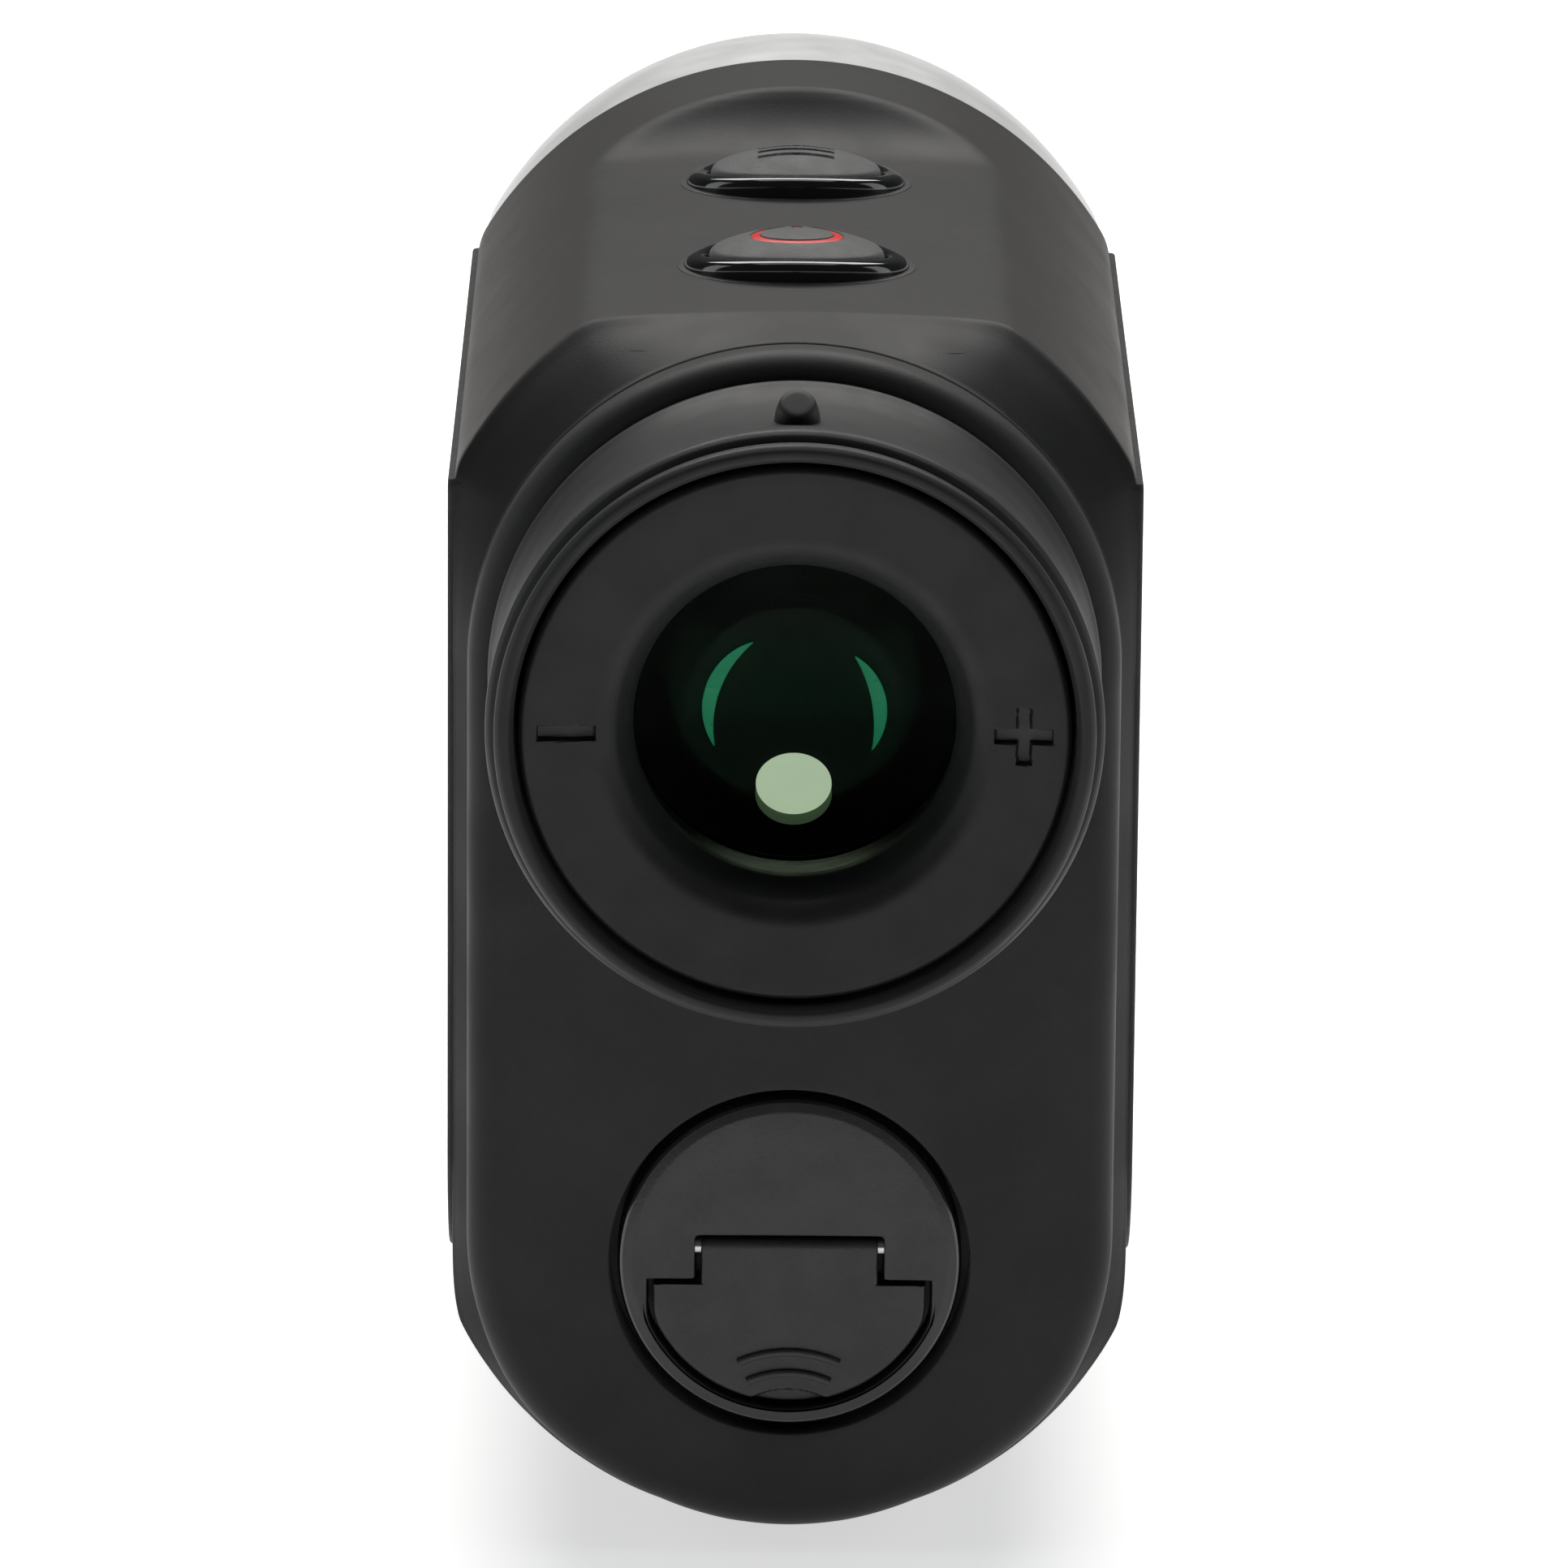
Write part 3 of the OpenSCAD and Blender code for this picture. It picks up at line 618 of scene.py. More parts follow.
class Mould:
    """Turns patches into finished pieces in the CAD frame."""

    def __init__(self, wardrobe: Wardrobe) -> None:
        """Finds the optical frame's origin from the CAD boxes: rear face, and eyepiece axis.

        Args:
            wardrobe: Where the finishes come from.
        """
        low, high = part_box("eyepiece_face")
        self.origin = np.array([0.0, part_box("rear_cover")[0].y, (low.z + high.z) / 2])
        self.wardrobe = wardrobe

    def place(self, points: np.ndarray) -> np.ndarray:
        """Moves millimetres in the optical frame to metres in the CAD frame."""
        return points / 1000.0 + self.origin

    def piece(
        self, name: str, patches: list[Patch], slot: Slot, body: str, replaces: tuple[str, ...] = (),
        finish: Finish | None = None,
    ) -> bpy.types.Object:
        """Joins patches into one closed mesh, welds their seams, dresses it and ties it to its body.

        Args:
            name: The piece's name.
            patches: Its surfaces.
            slot: The material slot whose finish it takes.
            body: The CAD body that it rides on.
            replaces: The CAD nodes that it stands for.
            finish: A finish of its own, where the slot's isn't used.

        Returns:
            The finished object.
        """
        starts = np.cumsum([0] + [p.points.shape[0] * p.points.shape[1] for p in patches])
        points = self.place(np.concatenate([p.points.reshape(-1, 3) for p in patches]))
        faces = np.concatenate([p.quads(int(s)) for p, s in zip(patches, starts)])
        mesh = bpy.data.meshes.new(name)
        mesh.from_pydata(points, [], faces)
        work = bmesh.new()
        work.from_mesh(mesh)
        bmesh.ops.remove_doubles(work, verts=work.verts, dist=2e-6)
        bmesh.ops.dissolve_degenerate(work, edges=work.edges, dist=1e-7)
        bmesh.ops.recalc_face_normals(work, faces=work.faces)
        work.to_mesh(mesh)
        work.free()
        mesh.shade_smooth()
        mesh.set_sharp_from_angle(angle=math.radians(38.0))
        made = bpy.data.objects.new(name, mesh)
        bpy.context.scene.collection.objects.link(made)
        mesh.materials.append(finish.build() if finish else self.wardrobe.get(slot))
        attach(made, body)
        if replaces:
            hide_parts(*replaces)
        LOG.info("%s: %d faces, on %s", name, len(mesh.polygons), body)
        return made

    def second_finish(self, made: bpy.types.Object, slot: Slot, chosen: Chooser) -> None:
        """Gives some of a piece's faces another finish.

        Args:
            made: The piece.
            slot: The slot whose finish they take.
            chosen: Says which face middles, in millimetres in the optical frame, are taken.
        """
        made.data.materials.append(self.wardrobe.get(slot))
        middles = np.zeros(len(made.data.polygons) * 3)
        made.data.polygons.foreach_get("center", middles)
        middles = (middles.reshape(-1, 3) - self.origin) * 1000.0
        made.data.polygons.foreach_set("material_index", chosen(middles).astype(np.int32))


@dataclass(frozen=True)
class Spine:
    """The columns of a tall loop with round ends.

    Column t starts from a foot on a short upright line, at height foot(t), and goes out along the
    normal (nx, nz): round the top end, down one side, round the bottom end and up the other side.
    """

    drop: float = 35.0
    split: float = -20.8
    arc: int = 120
    side: int = 20

    def columns(self) -> tuple[np.ndarray, np.ndarray, np.ndarray]:
        """The feet and normals of all columns.

        Returns:
            Arrays foot, nx and nz.
        """
        up = np.linspace(0, np.pi, self.arc + 1)
        upper = np.linspace(0, self.split, self.side // 2 + 1)[1:]
        lower = np.linspace(self.split, -self.drop, self.side // 2 + 1)[1:-1]
        down = np.concatenate([upper, lower])
        turn = np.concatenate([up, np.full(down.size, np.pi), up + np.pi, np.full(down.size, 2 * np.pi)])
        foot = np.concatenate([np.zeros(up.size), down, np.full(up.size, -self.drop), down[::-1]])
        return foot, np.cos(turn), np.sin(turn)

    def rings(self, rho: np.ndarray, y: np.ndarray) -> np.ndarray:
        """Points at distance rho along each column's normal, at station y.

        Args:
            rho: Distances [rows, columns], or anything that broadcasts to it.
            y: Stations, in the same way.

        Returns:
            Points [rows, columns, 3].
        """
        foot, nx, nz = self.columns()
        rho, y = np.broadcast_arrays(np.asarray(rho, float) + 0 * foot, np.asarray(y, float) + 0 * foot)
        return np.stack([rho * nx, y, foot + rho * nz], -1)


@dataclass(frozen=True)
class Hole:
    """A round hole along Y through a plate: its height, its radius and its edge rounding."""

    z: float
    r: float
    lip: float = 0.3


@dataclass(frozen=True)
class Plate:
    """A flat plate with a tall outline and two round holes, one above the other.

    Each half of the plate, above and below the split line, is a fan between its hole and its own
    outline: row s is (1-s) times the outline plus s times the hole. The outer band goes from the
    seen face to the back one, and `extra` is added to its reach in each column.
    """

    spine: Spine
    band: list[tuple[float, float]]
    upper: Hole
    lower: Hole
    extra: np.ndarray

    def patches(self) -> list[Patch]:
        """The plate's surfaces, ready to be welded.

        Returns:
            The outer band and the two fans.
        """
        band = np.array(self.band)
        rings = self.spine.rings(band[:, :1] + self.extra, band[:, 1:])
        face_y, back_y = band[0, 1], band[-1, 1]
        edge = rings[0]
        z = edge[:, 2]
        number = np.arange(z.size)
        high = number[z >= self.spine.split - 1e-9]
        high = np.concatenate([high[high > z.size // 2], high[high <= z.size // 2]])
        low = number[z <= self.spine.split + 1e-9]
        line_x = np.linspace(-band[0, 0], band[0, 0], 42)[1:-1]
        line = np.stack([line_x, np.full_like(line_x, face_y), np.full_like(line_x, self.spine.split)], -1)
        top = self.fan(np.concatenate([edge[high], line]), self.upper, face_y, back_y)
        bottom = self.fan(np.concatenate([edge[low], line[::-1]]), self.lower, face_y, back_y)
        return [Patch(rings), top, bottom]

    @staticmethod
    def fan(outline: np.ndarray, hole: Hole, face_y: float, back_y: float) -> Patch:
        """One half of the plate: seen face, hole lip, hole wall and back face.

        Args:
            outline: The half's outline on the seen face.
            hole: Its hole.
            face_y: The station of the seen face.
            back_y: The station of the back face.

        Returns:
            The surface.
        """
        way = outline[:, [0, 2]] - np.array([0.0, hole.z])
        reach = np.linalg.norm(way, axis=1)
        unit = way / reach[:, None]
        sign, lip = np.sign(back_y - face_y), hole.lip
        share = np.array([0, 0.1, 0.35, 0.65, 0.9])[:, None]
        face = reach * (1 - share) + (hole.r + 1.25 * lip) * share
        bend = np.linspace(0, np.pi / 2, 6)[:, None]
        curl = hole.r + lip * (1 - np.sin(bend)) + 0 * reach
        rho = np.concatenate([face, curl, hole.r + 0 * curl[:2], face[::-1]])
        y = np.concatenate([
            np.full(5, face_y), face_y + sign * lip * (1 - np.cos(bend[:, 0])),
            [face_y + sign * lip * 1.4, back_y - sign * 0.05], np.full(5, back_y),
        ])[:, None] + 0 * reach
        return Patch(np.stack([rho * unit[:, 0], y, hole.z + rho * unit[:, 1]], -1))


# ---------------------------------------------------------------- sub-assemblies


@dataclass
class Housing:
    """The body: rear cover, rubber armour, side panels, silver nose and front plate."""

    mould: Mould
    half_w: float = 20.2
    top_r: float = 22.9
    foot: float = 19.78
    facet_z: float = 19.8
    facet_crown: float = 150.0
    facet_end: float = 49.0
    fillet_r: float = 7.8
    armour_end: float = 64.0
    armour_t: float = 1.4
    cover_r: float = 19.25
    nose_end: float = 85.0
    window_r: float = 15.9
    well: tuple[float, float] = (6.9, 5.25)
    well_depth: float = 1.5
    spine: Spine = field(default_factory=lambda: Spine(arc=180, side=24))

    def outer(self, y: np.ndarray) -> np.ndarray:
        """The armour's full outline at stations y: how far out each column reaches.

        It is the smallest, with rounded crossings, of the end arc's radius, the flat side, the
        flat foot, and on top the crowned facet, which a hollow of radius fillet_r joins to the arc.

        Args:
            y: Stations [rows, columns].

        Returns:
            Distances along the columns' normals.
        """
        _, nx, nz = self.spine.columns()
        arc = self.end_radius()
        side = self.half_w / np.maximum(np.abs(nx), 1e-3)
        low = np.where(nz < -1e-3, self.foot / np.maximum(-nz, 1e-3), 1e3)
        rise = np.clip(y - self.facet_end, 0, self.fillet_r * 0.999)
        ramp = self.fillet_r - np.sqrt(self.fillet_r**2 - rise**2)
        up = np.where(nz > 0.05, nz, 1e-3)
        width = np.minimum(np.abs(nx) / up * self.facet_z, 14.0)
        facet = np.where(nz > 0.05, (self.facet_z + ramp - width**2 / (2 * self.facet_crown)) / up, 1e3)
        full = soft_min(soft_min(arc + 0 * y, side + 0 * y, 0.7), low + 0 * y, 0.5)
        return soft_min(full, facet, 0.45)

    def end_radius(self) -> np.ndarray:
        """The round ends' radius: constant on top, and a little flatter low down than at the sides."""
        foot, _, nz = self.spine.columns()
        swing = np.degrees(np.arccos(np.clip(-nz, 0, 1)))
        angles = [0, 8, 23, 37.5, 51, 62, 71.5, 90]
        low = np.interp(swing, angles, [19.68, 19.68, 19.56, 19.78, 20.12, 20.5, 20.9, 20.9])
        return np.where((foot <= -self.spine.drop) & (nz < -1e-9), low, self.top_r)

    def ridge_drop(self) -> np.ndarray:
        """How far the rear ridge is drawn in low down, by angle from straight down, in each column."""
        _, _, nz = self.spine.columns()
        swing = np.degrees(np.arccos(np.clip(-nz, 0, 1)))
        return np.interp(swing, [0, 24, 39, 54, 62], [-0.9, -0.9, -0.6, -0.1, 0.0])

    def shoulder_front(self) -> np.ndarray:
        """Where each column's shoulder ends: furthest forward over the facet, least at the sides."""
        foot, _, nz = self.spine.columns()
        lift = np.degrees(np.arcsin(np.clip(nz, -1, 1)))
        top = np.interp(lift, [0, 20, 28, 38, 50, 58, 63, 90], [4.5, 4.6, 4.8, 5.8, 7.2, 8.1, 8.4, 8.4])
        low = np.interp(-lift, [0, 90], [4.6, 4.9])
        return np.where(foot < -1e-6, low, top)

    def armour_patch(self) -> Patch:
        """The armour shell: lip at the rear cover, lofted shoulder, facet and body, front lip, inside.

        On the shoulder, share s of the way from the ridge to its front boundary gives share s of
        the rise from the ridge's radius to the full outline. A running mean then rounds the rows.

        Returns:
            The closed surface.
        """
        front = self.shoulder_front()
        full_at = self.outer(front[None])[0]
        flatter = self.ridge_drop()
        ridge_r, ridge_y = self.cover_r + 0.05 + flatter, 3.4
        rear = np.array([
            [17.6, 3.08], [18.6, 3.04], [19.0, 3.04], [19.16, 3.08], [19.24, 3.16], [19.29, 3.28],
        ])
        rows_r = [np.full((len(rear), front.size), 1.0) * rear[:, :1] + flatter]
        rows_y = [np.full((len(rear), front.size), 1.0) * rear[:, 1:]]
        share = np.array([0, 0.04, 0.1, 0.25, 0.45, 0.65, 0.8, 0.9, 0.96, 1.0])[:, None]
        rows_r.append(ridge_r + share * (full_at - ridge_r))
        rows_y.append(ridge_y + share * (front - ridge_y))
        stations = np.concatenate([
            [8.55, 8.75, 9.0, 9.4, 10.2, 11.4, 12.6], np.arange(13.4, 57.1, 0.4),
            [58, 60, 62, 62.8, 63.2, 63.4],
        ])[:, None]
        y = front + (stations - 8.4) * (63.4 - front) / (63.4 - 8.4)
        rows_r.append(self.outer(y))
        rows_y.append(y)
        rho, y = np.concatenate(rows_r), np.concatenate(rows_y)
        first, last = len(rear) + 6, len(rear) + len(share) + 4
        rho = rho - self.button_wells(rho, y)
        for _ in range(3):
            mean = 0.25 * rho[:-2] + 0.5 * rho[1:-1] + 0.25 * rho[2:]
            rho[first:last] = mean[first - 1 : last - 1]
        end = self.outer(np.full((1, front.size), self.armour_end))
        bend = np.linspace(0, np.pi / 2, 7)[1:, None]
        lip_r, lip_y = end - 0.6 * (1 - np.cos(bend)), 63.4 + 0.6 * np.sin(bend)
        inner_y = np.array([64.0, 63.9, 56.0, 49.0, 30.0, 10.5])[:, None] + 0 * front
        inner_r = self.outer(inner_y) - self.armour_t
        tail_r = np.concatenate([full_at[None] * 0 + 18.0, rho[:1]])
        tail_y = np.concatenate([full_at[None] * 0 + 5.2, y[:1]])
        rho = np.concatenate([rho, lip_r, inner_r, tail_r])
        y = np.concatenate([y, lip_y + 0 * front, inner_y, tail_y])
        return Patch(self.spine.rings(rho, y))

    def button_wells(self, rho: np.ndarray, y: np.ndarray) -> np.ndarray:
        """How deep the skin is sunk under each button: well_depth in an oval, fading out by its edge.

        Args:
            rho: Distances of the skin's points.
            y: Their stations.

        Returns:
            The depths.
        """
        _, nx, nz = self.spine.columns()
        depth = 0 * rho
        for middle in (Buttons.power_y, Buttons.mode_y):
            away = np.hypot(rho * nx / self.well[0], (y - middle) / self.well[1])
            depth = depth + np.where(nz > 0.5, self.well_depth * ease((0.97 - away) / 0.08), 0.0)
        return depth

    def nose_radius(self, y: np.ndarray) -> np.ndarray:
        """The nose's outline at stations y: it draws in slowly, then rounds over to its front edge.

        Args:
            y: Stations [rows, 1].

        Returns:
            Distances along the columns' normals.
        """
        foot, nx, nz = self.spine.columns()
        share = np.where((foot <= -self.spine.drop) & (nz < -1e-9), 0.6, 1.0)
        draw = share * np.interp(y, [64, 67, 70, 73, 76, 78.5, 81, 82.5, 84, 84.6, 85],
                         [0, 0.03, 0.1, 0.33, 0.7, 1.12, 1.7, 2.25, 3.0, 3.5, 4.2])
        arc = self.end_radius() - 0.4
        side = (self.half_w - 0.4) / np.maximum(np.abs(nx), 1e-3)
        low = np.where(nz < -1e-3, (self.foot - 0.4) / np.maximum(-nz, 1e-3), 1e3)
        return soft_min(soft_min(arc - draw, side + 0 * y, 0.6), low + 0 * y, 0.5)

    def nose_patch(self) -> Patch:
        """The silver shell: outside, rounded front edge, window wall and inside, closed on itself."""
        stations = np.concatenate([[64.0, 64.3], np.arange(65, 82, 1.0), np.arange(82, 85.01, 0.25)])[:, None]
        outside = self.nose_radius(stations)
        r, end = self.window_r, self.nose_end
        window = np.array([
            [r + 0.35, end], [r + 0.15, end - 0.05], [r + 0.03, end - 0.2],
            [r, end - 0.5], [r, 80.8], [17.5, 80.8],
        ])
        columns = outside.shape[1]
        ones = np.ones((1, columns))
        edge = outside[-1:]
        front = np.minimum(edge - 0.25, np.maximum(16.3, edge - 0.25))
        inside_y = np.array([80.0, 76.0, 70.0, 64.0])[:, None]
        inside = np.maximum(17.55, self.nose_radius(inside_y) - 1.6)
        rho = np.concatenate([outside, np.minimum(front, edge), window[:, :1] * ones, inside, outside[:1]])
        y = np.concatenate([stations * ones, 85.0 * ones, window[:, 1:] * ones, inside_y * ones, 64.0 * ones])
        return Patch(self.spine.rings(rho, y))

    def side_panel(self, side: int) -> Patch:
        """A thin pad let into one flat side, with one round corner, low at the rear.

        Its outline is a rounded rectangle about (y 34.3, z -14.35): in direction a it reaches
        the nearest of its four sides, crossings rounded, or the round corner.

        Args:
            side: -1 for the left, 1 for the right.

        Returns:
            The closed surface.
        """
        angle = np.linspace(0, 2 * np.pi, 720, endpoint=False)
        c, s = np.cos(angle), np.sin(angle)
        cy, cz, ry, rz = 34.3, -14.35, 29.7, 24.75
        box = soft_min(ry / np.maximum(np.abs(c), 1e-3), rz / np.maximum(np.abs(s), 1e-3), 0.35)
        kx, kz, big = -(ry - 8.0), -(rz - 8.0), 8.0
        along = c * kx + s * kz
        disc = np.maximum(along**2 - (kx * kx + kz * kz) + big * big, 0)
        corner = along + np.sqrt(disc)
        in_corner = (c * box < kx) & (s * box < kz)
        reach = np.where(in_corner, corner, box)
        inset = np.array([0.0, 0.0, 0.0, 0.03, 0.1, 0.2, 0.33, 0.5, 1.2])
        x = np.array([19.4, 19.6, 20.2, 20.34, 20.44, 20.485, 20.5, 20.5, 20.5])
        scale = 1 - inset[:, None] / reach
        back = np.outer([0.8, 0.5, 0.2, 0.0], reach * 0 + 1)
        scale = np.concatenate([[0 * reach, 0 * reach + 0.5], scale, back])
        x = np.concatenate([[19.4, 19.4], x, [20.5] * 4])[:, None] + 0 * reach
        return Patch(np.stack([side * x, cy + scale * reach * c, cz + scale * reach * s], -1))

    def build(self) -> None:
        """Builds and dresses the four shells and the two panels."""
        bend = np.linspace(0, np.pi / 2, 8)
        band = [(17.6, 0.0)] + list(zip(17.75 + 1.5 * np.sin(bend), 1.5 * (1 - np.cos(bend))))
        band += [(19.25, 1.7), (19.25, 2.6), (19.22, 2.8), (19.1, 2.95), (18.95, 3.0), (17.6, 3.0)]
        cover = Plate(self.spine, band, Hole(0.0, 16.0, 0.2), Hole(-36.4, 10.75, 0.15), self.ridge_drop())
        self.mould.piece("rear_cover_shell", cover.patches(), Slot.SKIN, "housing", ("rear_cover",))
        self.mould.piece("armour_skin", [self.armour_patch()], Slot.SKIN, "housing", ("armour",))
        for side, node in ((-1, "left_panel"), (1, "right_panel")):
            self.mould.piece(node + "_pad", [self.side_panel(side)], Slot.PANEL, "housing", (node,))
        self.mould.piece("silver_nose", [self.nose_patch()], Slot.SILVER, "housing", ("front_shell",))
        rim = [(15.55, 84.0), (15.7, 84.0), (15.82, 83.95), (15.88, 83.85), (15.88, 82.6), (15.55, 82.4)]
        loop = Spine(split=-17.7, arc=180, side=24)
        plate = Plate(loop, rim, Hole(0.0, 13.4, 0.2), Hole(-32.0, 10.1, 0.2), np.zeros(1))
        self.mould.piece("front_plate", plate.patches(), Slot.GLOSS, "housing", ("front_bezel",))


@dataclass
class Eyepiece:
    """Eyecup with its setting dot, face ring with engraved marks, eye lens, and painted light and shade seen
    through it.
    """

    mould: Mould
    mark_x: float = 13.2
    mark_len: float = 3.2
    mark_w: float = 0.68
    mark_depth: float = 0.55
    # The numbers below place the painted light and shade inside the eyepiece: glowing discs and arcs, and a
    # black disc behind them.
    glint_r: float = 4.45
    glint_z: float = -2.0
    field_r: float = 1.98
    field_y: float = 0.25
    field_z: float = -5.65
    shade_disc_r: float = 9.78

    def in_mark(self, middles: np.ndarray) -> np.ndarray:
        """Which face middles lie on the floor of a mark.

        Args:
            middles: Face middles [n, 3].

        Returns:
            True for each one inside the minus or the plus.
        """
        dx, dz = np.abs(np.abs(middles[:, 0]) - self.mark_x), np.abs(middles[:, 2])
        half_l, half_w = self.mark_len / 2, self.mark_w / 2
        bar = (dx < half_l) & (dz < half_w)
        stem = (middles[:, 0] > 0) & (dx < half_w) & (dz < half_l)
        return (bar | stem) & (middles[:, 1] < -12.6)

    def face_patch(self) -> Patch:
        """The face ring. Its front is pushed in by mark_depth inside a minus and a plus.

        A mark is a bar: its depth falls from full to nothing over 0.12 mm outside half its width
        and length. Columns crowd near the two marks.

        Returns:
            The closed surface.
        """
        near = np.radians(np.arange(-9.0, 9.01, 0.35))
        far = np.radians(np.linspace(9.0, 171.0, 60)[1:-1])
        angle = np.concatenate([near, far, near + np.pi, far + np.pi])
        path = soften([
            (9.35, -9.6), (9.35, -10.3), (9.7, -11.5), (10.3, -12.6), (11.2, -13.25), (15.1, -13.45),
            (15.7, -13.45), (15.95, -13.15), (15.95, -9.6),
        ], [0.02, 0.25, 0.5, 0.5, 0.5, 0.3, 0.2, 0.2, 0.02])
        start = int(np.argmin(np.abs(path[:, 0] - 11.2) + (path[:, 1] > -12.5) * 9))
        stop = int(np.argmin(np.abs(path[:, 0] - 15.25) + (path[:, 1] > -13.3) * 9))
        fine_r = np.arange(path[start, 0], path[stop, 0], 0.08)
        order = np.argsort(path[start : stop + 1, 0])
        fine_y = np.interp(fine_r, path[start : stop + 1, 0][order], path[start : stop + 1, 1][order])
        path = np.concatenate([path[:start], np.stack([fine_r, fine_y], 1), path[stop:]])
        x, z = path[:, :1] * np.cos(angle), path[:, :1] * np.sin(angle)
        half_l, half_w = self.mark_len / 2, self.mark_w / 2
        dx = np.abs(np.abs(x) - self.mark_x)
        bar = np.minimum(half_l - dx, half_w - np.abs(z))
        stem = np.where(x > 0, np.minimum(half_w - dx, half_l - np.abs(z)), -9.0)
        sunk = ease(np.maximum(bar, stem) / 0.12 + 1.0) * self.mark_depth
        y = path[:, 1:] + np.where(path[:, 1:] < -12.8, sunk, 0.0)
        return Patch(np.stack([x, y, z], -1))

    def dot_patch(self) -> Patch:
        """The setting dot: a blunt cone whose axis leans back by 37 degrees.

        Point (r, h) of its profile goes to r cos a across, and to r sin a and h turned by the lean.

        Returns:
            The closed surface.
        """
        path = np.array([(0.0, -0.6), (1.4, -0.6), (1.32, 0.3), (1.24, 0.9), (1.11, 1.38), (1.04, 1.54),
                         (0.94, 1.61), (0.7, 1.63), (0.35, 1.63), (0.0, 1.63)])
        angle, lean = np.linspace(0, 2 * np.pi, 64, endpoint=False), math.radians(37.0)
        across, along = path[:, :1] * np.sin(angle), path[:, 1:]
        y = -7.9 + across * math.cos(lean) - along * math.sin(lean)
        z = 17.3 + across * math.sin(lean) + along * math.cos(lean)
        return Patch(np.stack([path[:, :1] * np.cos(angle), y, z], -1))

    def glint(self, middle: float, span: float) -> Patch:
        """A painted glint: a crescent of green glow for light caught on an inner lens edge, an arc whose
        width swells in its middle.

        Args:
            middle: The arc's middle angle, in degrees.
            span: Its full angle.

        Returns:
            The closed surface.
        """
        t = np.linspace(-1, 1, 60)[:, None]
        sweep = np.radians(middle + t * span / 2)
        width = 0.02 + 0.34 * (1 - t * t)
        across = np.array([-1.0, 0.0, 1.0, 1.0, 0.0, -1.0]) * width
        level = np.array([0.0, -0.02, 0.0, 0.05, 0.05, 0.05])
        r, y = self.glint_r + across, 0.6 + level + 0 * sweep
        return swept(np.stack([r * np.cos(sweep), y, self.glint_z + r * np.sin(sweep)], -1))

    @staticmethod
    def oval(r: float, y: float, z: float) -> Patch:
        """A thin oval disc, 0.84 times as tall as it is wide.

        Args:
            r: Half its width.
            y: Its rear face.
            z: Its middle's height.

        Returns:
            The closed surface.
        """
        path = np.array([
            (0.0, 0.0), (0.7 * r, 0.0), (0.96 * r, 0.02), (r, 0.06), (0.96 * r, 0.1), (0.0, 0.12),
        ])
        patch = turned(path + np.array([0.0, y]), (0.0, 0.0), 96)
        patch.points[..., 2] = patch.points[..., 2] * 0.84 + z
        return patch

    def sight(self) -> None:
        """Builds the painted light and shade seen through the eye lens: a glowing disc for the lit field, a
        fainter glowing echo, two painted green glints and a black disc of painted shade behind them.
        """
        make = self.mould.piece
        # painted light: a glowing disc stands for the lit field seen through the eyepiece
        lit = [self.oval(self.field_r, self.field_y, self.field_z)]
        make("painted_field_light_disc", lit, Slot.COATED, "ocular", finish=PAINTED_FIELD_LIGHT)
        # painted reflection: a faint glowing echo of the field disc
        echo = [self.oval(self.field_r, self.field_y + 0.17, self.field_z - 0.55)]
        make("painted_echo_disc", echo, Slot.COATED, "ocular", finish=PAINTED_ECHO_LIGHT)
        # painted glints: two green glowing arcs on the lens edge
        arcs = [self.glint(161.0, 83.0), self.glint(10.0, 70.0)]
        make("painted_lens_edge_glints", arcs, Slot.COATED, "ocular", finish=PAINTED_GLINT)
        # painted shade: a black disc behind the eye lens stands for the dark inside of the optics
        r, rear, front, edge = self.shade_disc_r, 0.75, 0.95, 0.02
        path = np.array([
            (0.0, rear), (r - edge, rear), (r, rear + 0.03),
            (r, front - 0.03), (r - edge, front), (0.0, front),
        ])
        make("painted_shade_disc", [turned(path, columns=128)], Slot.CHIP, "ocular", finish=PAINTED_SHADE)

    def build(self) -> None:
        """Builds and dresses the pieces."""
        cup = soften([
            (15.08, -0.45), (15.08, -4.6), (16.25, -5.2), (16.25, -13.6), (16.55, -14.15),
            (17.05, -14.15), (17.36, -13.8), (17.36, -13.1), (17.15, -12.9), (17.65, -12.75),
            (17.9, -12.4), (17.9, -11.9), (17.45, -9.5), (17.25, -6.5), (17.4, -3.6), (17.75, -1.9),
            (18.05, -1.2), (17.8, -0.45),
        ], [0.1, 0.2, 0.3, 0.4, 0.25, 0.2, 0.15, 0.25, 0.08, 0.12, 0.2, 0.2, 1.0, 1.4, 1.0, 0.4, 0.3, 0.3])
        self.mould.piece("eyecup_shell", [turned(cup, columns=256)], Slot.EYECUP, "eyecup", ("eyecup",))
        self.mould.piece("setting_dot", [self.dot_patch()], Slot.EYECUP, "eyecup")
        ring = [self.face_patch()]
        face = self.mould.piece("eyepiece_face_ring", ring, Slot.FACE, "housing", ("eyepiece_face",))
        self.mould.second_finish(face, Slot.SEAL, self.in_mark)
        self.sight()
        lens = lens_path(11.3, -5.6, -2.6, 1.4, 2.2)
        self.mould.piece("eye_lens_glass", [turned(lens, columns=128)], Slot.COATED, "ocular", ("eye_lens",))


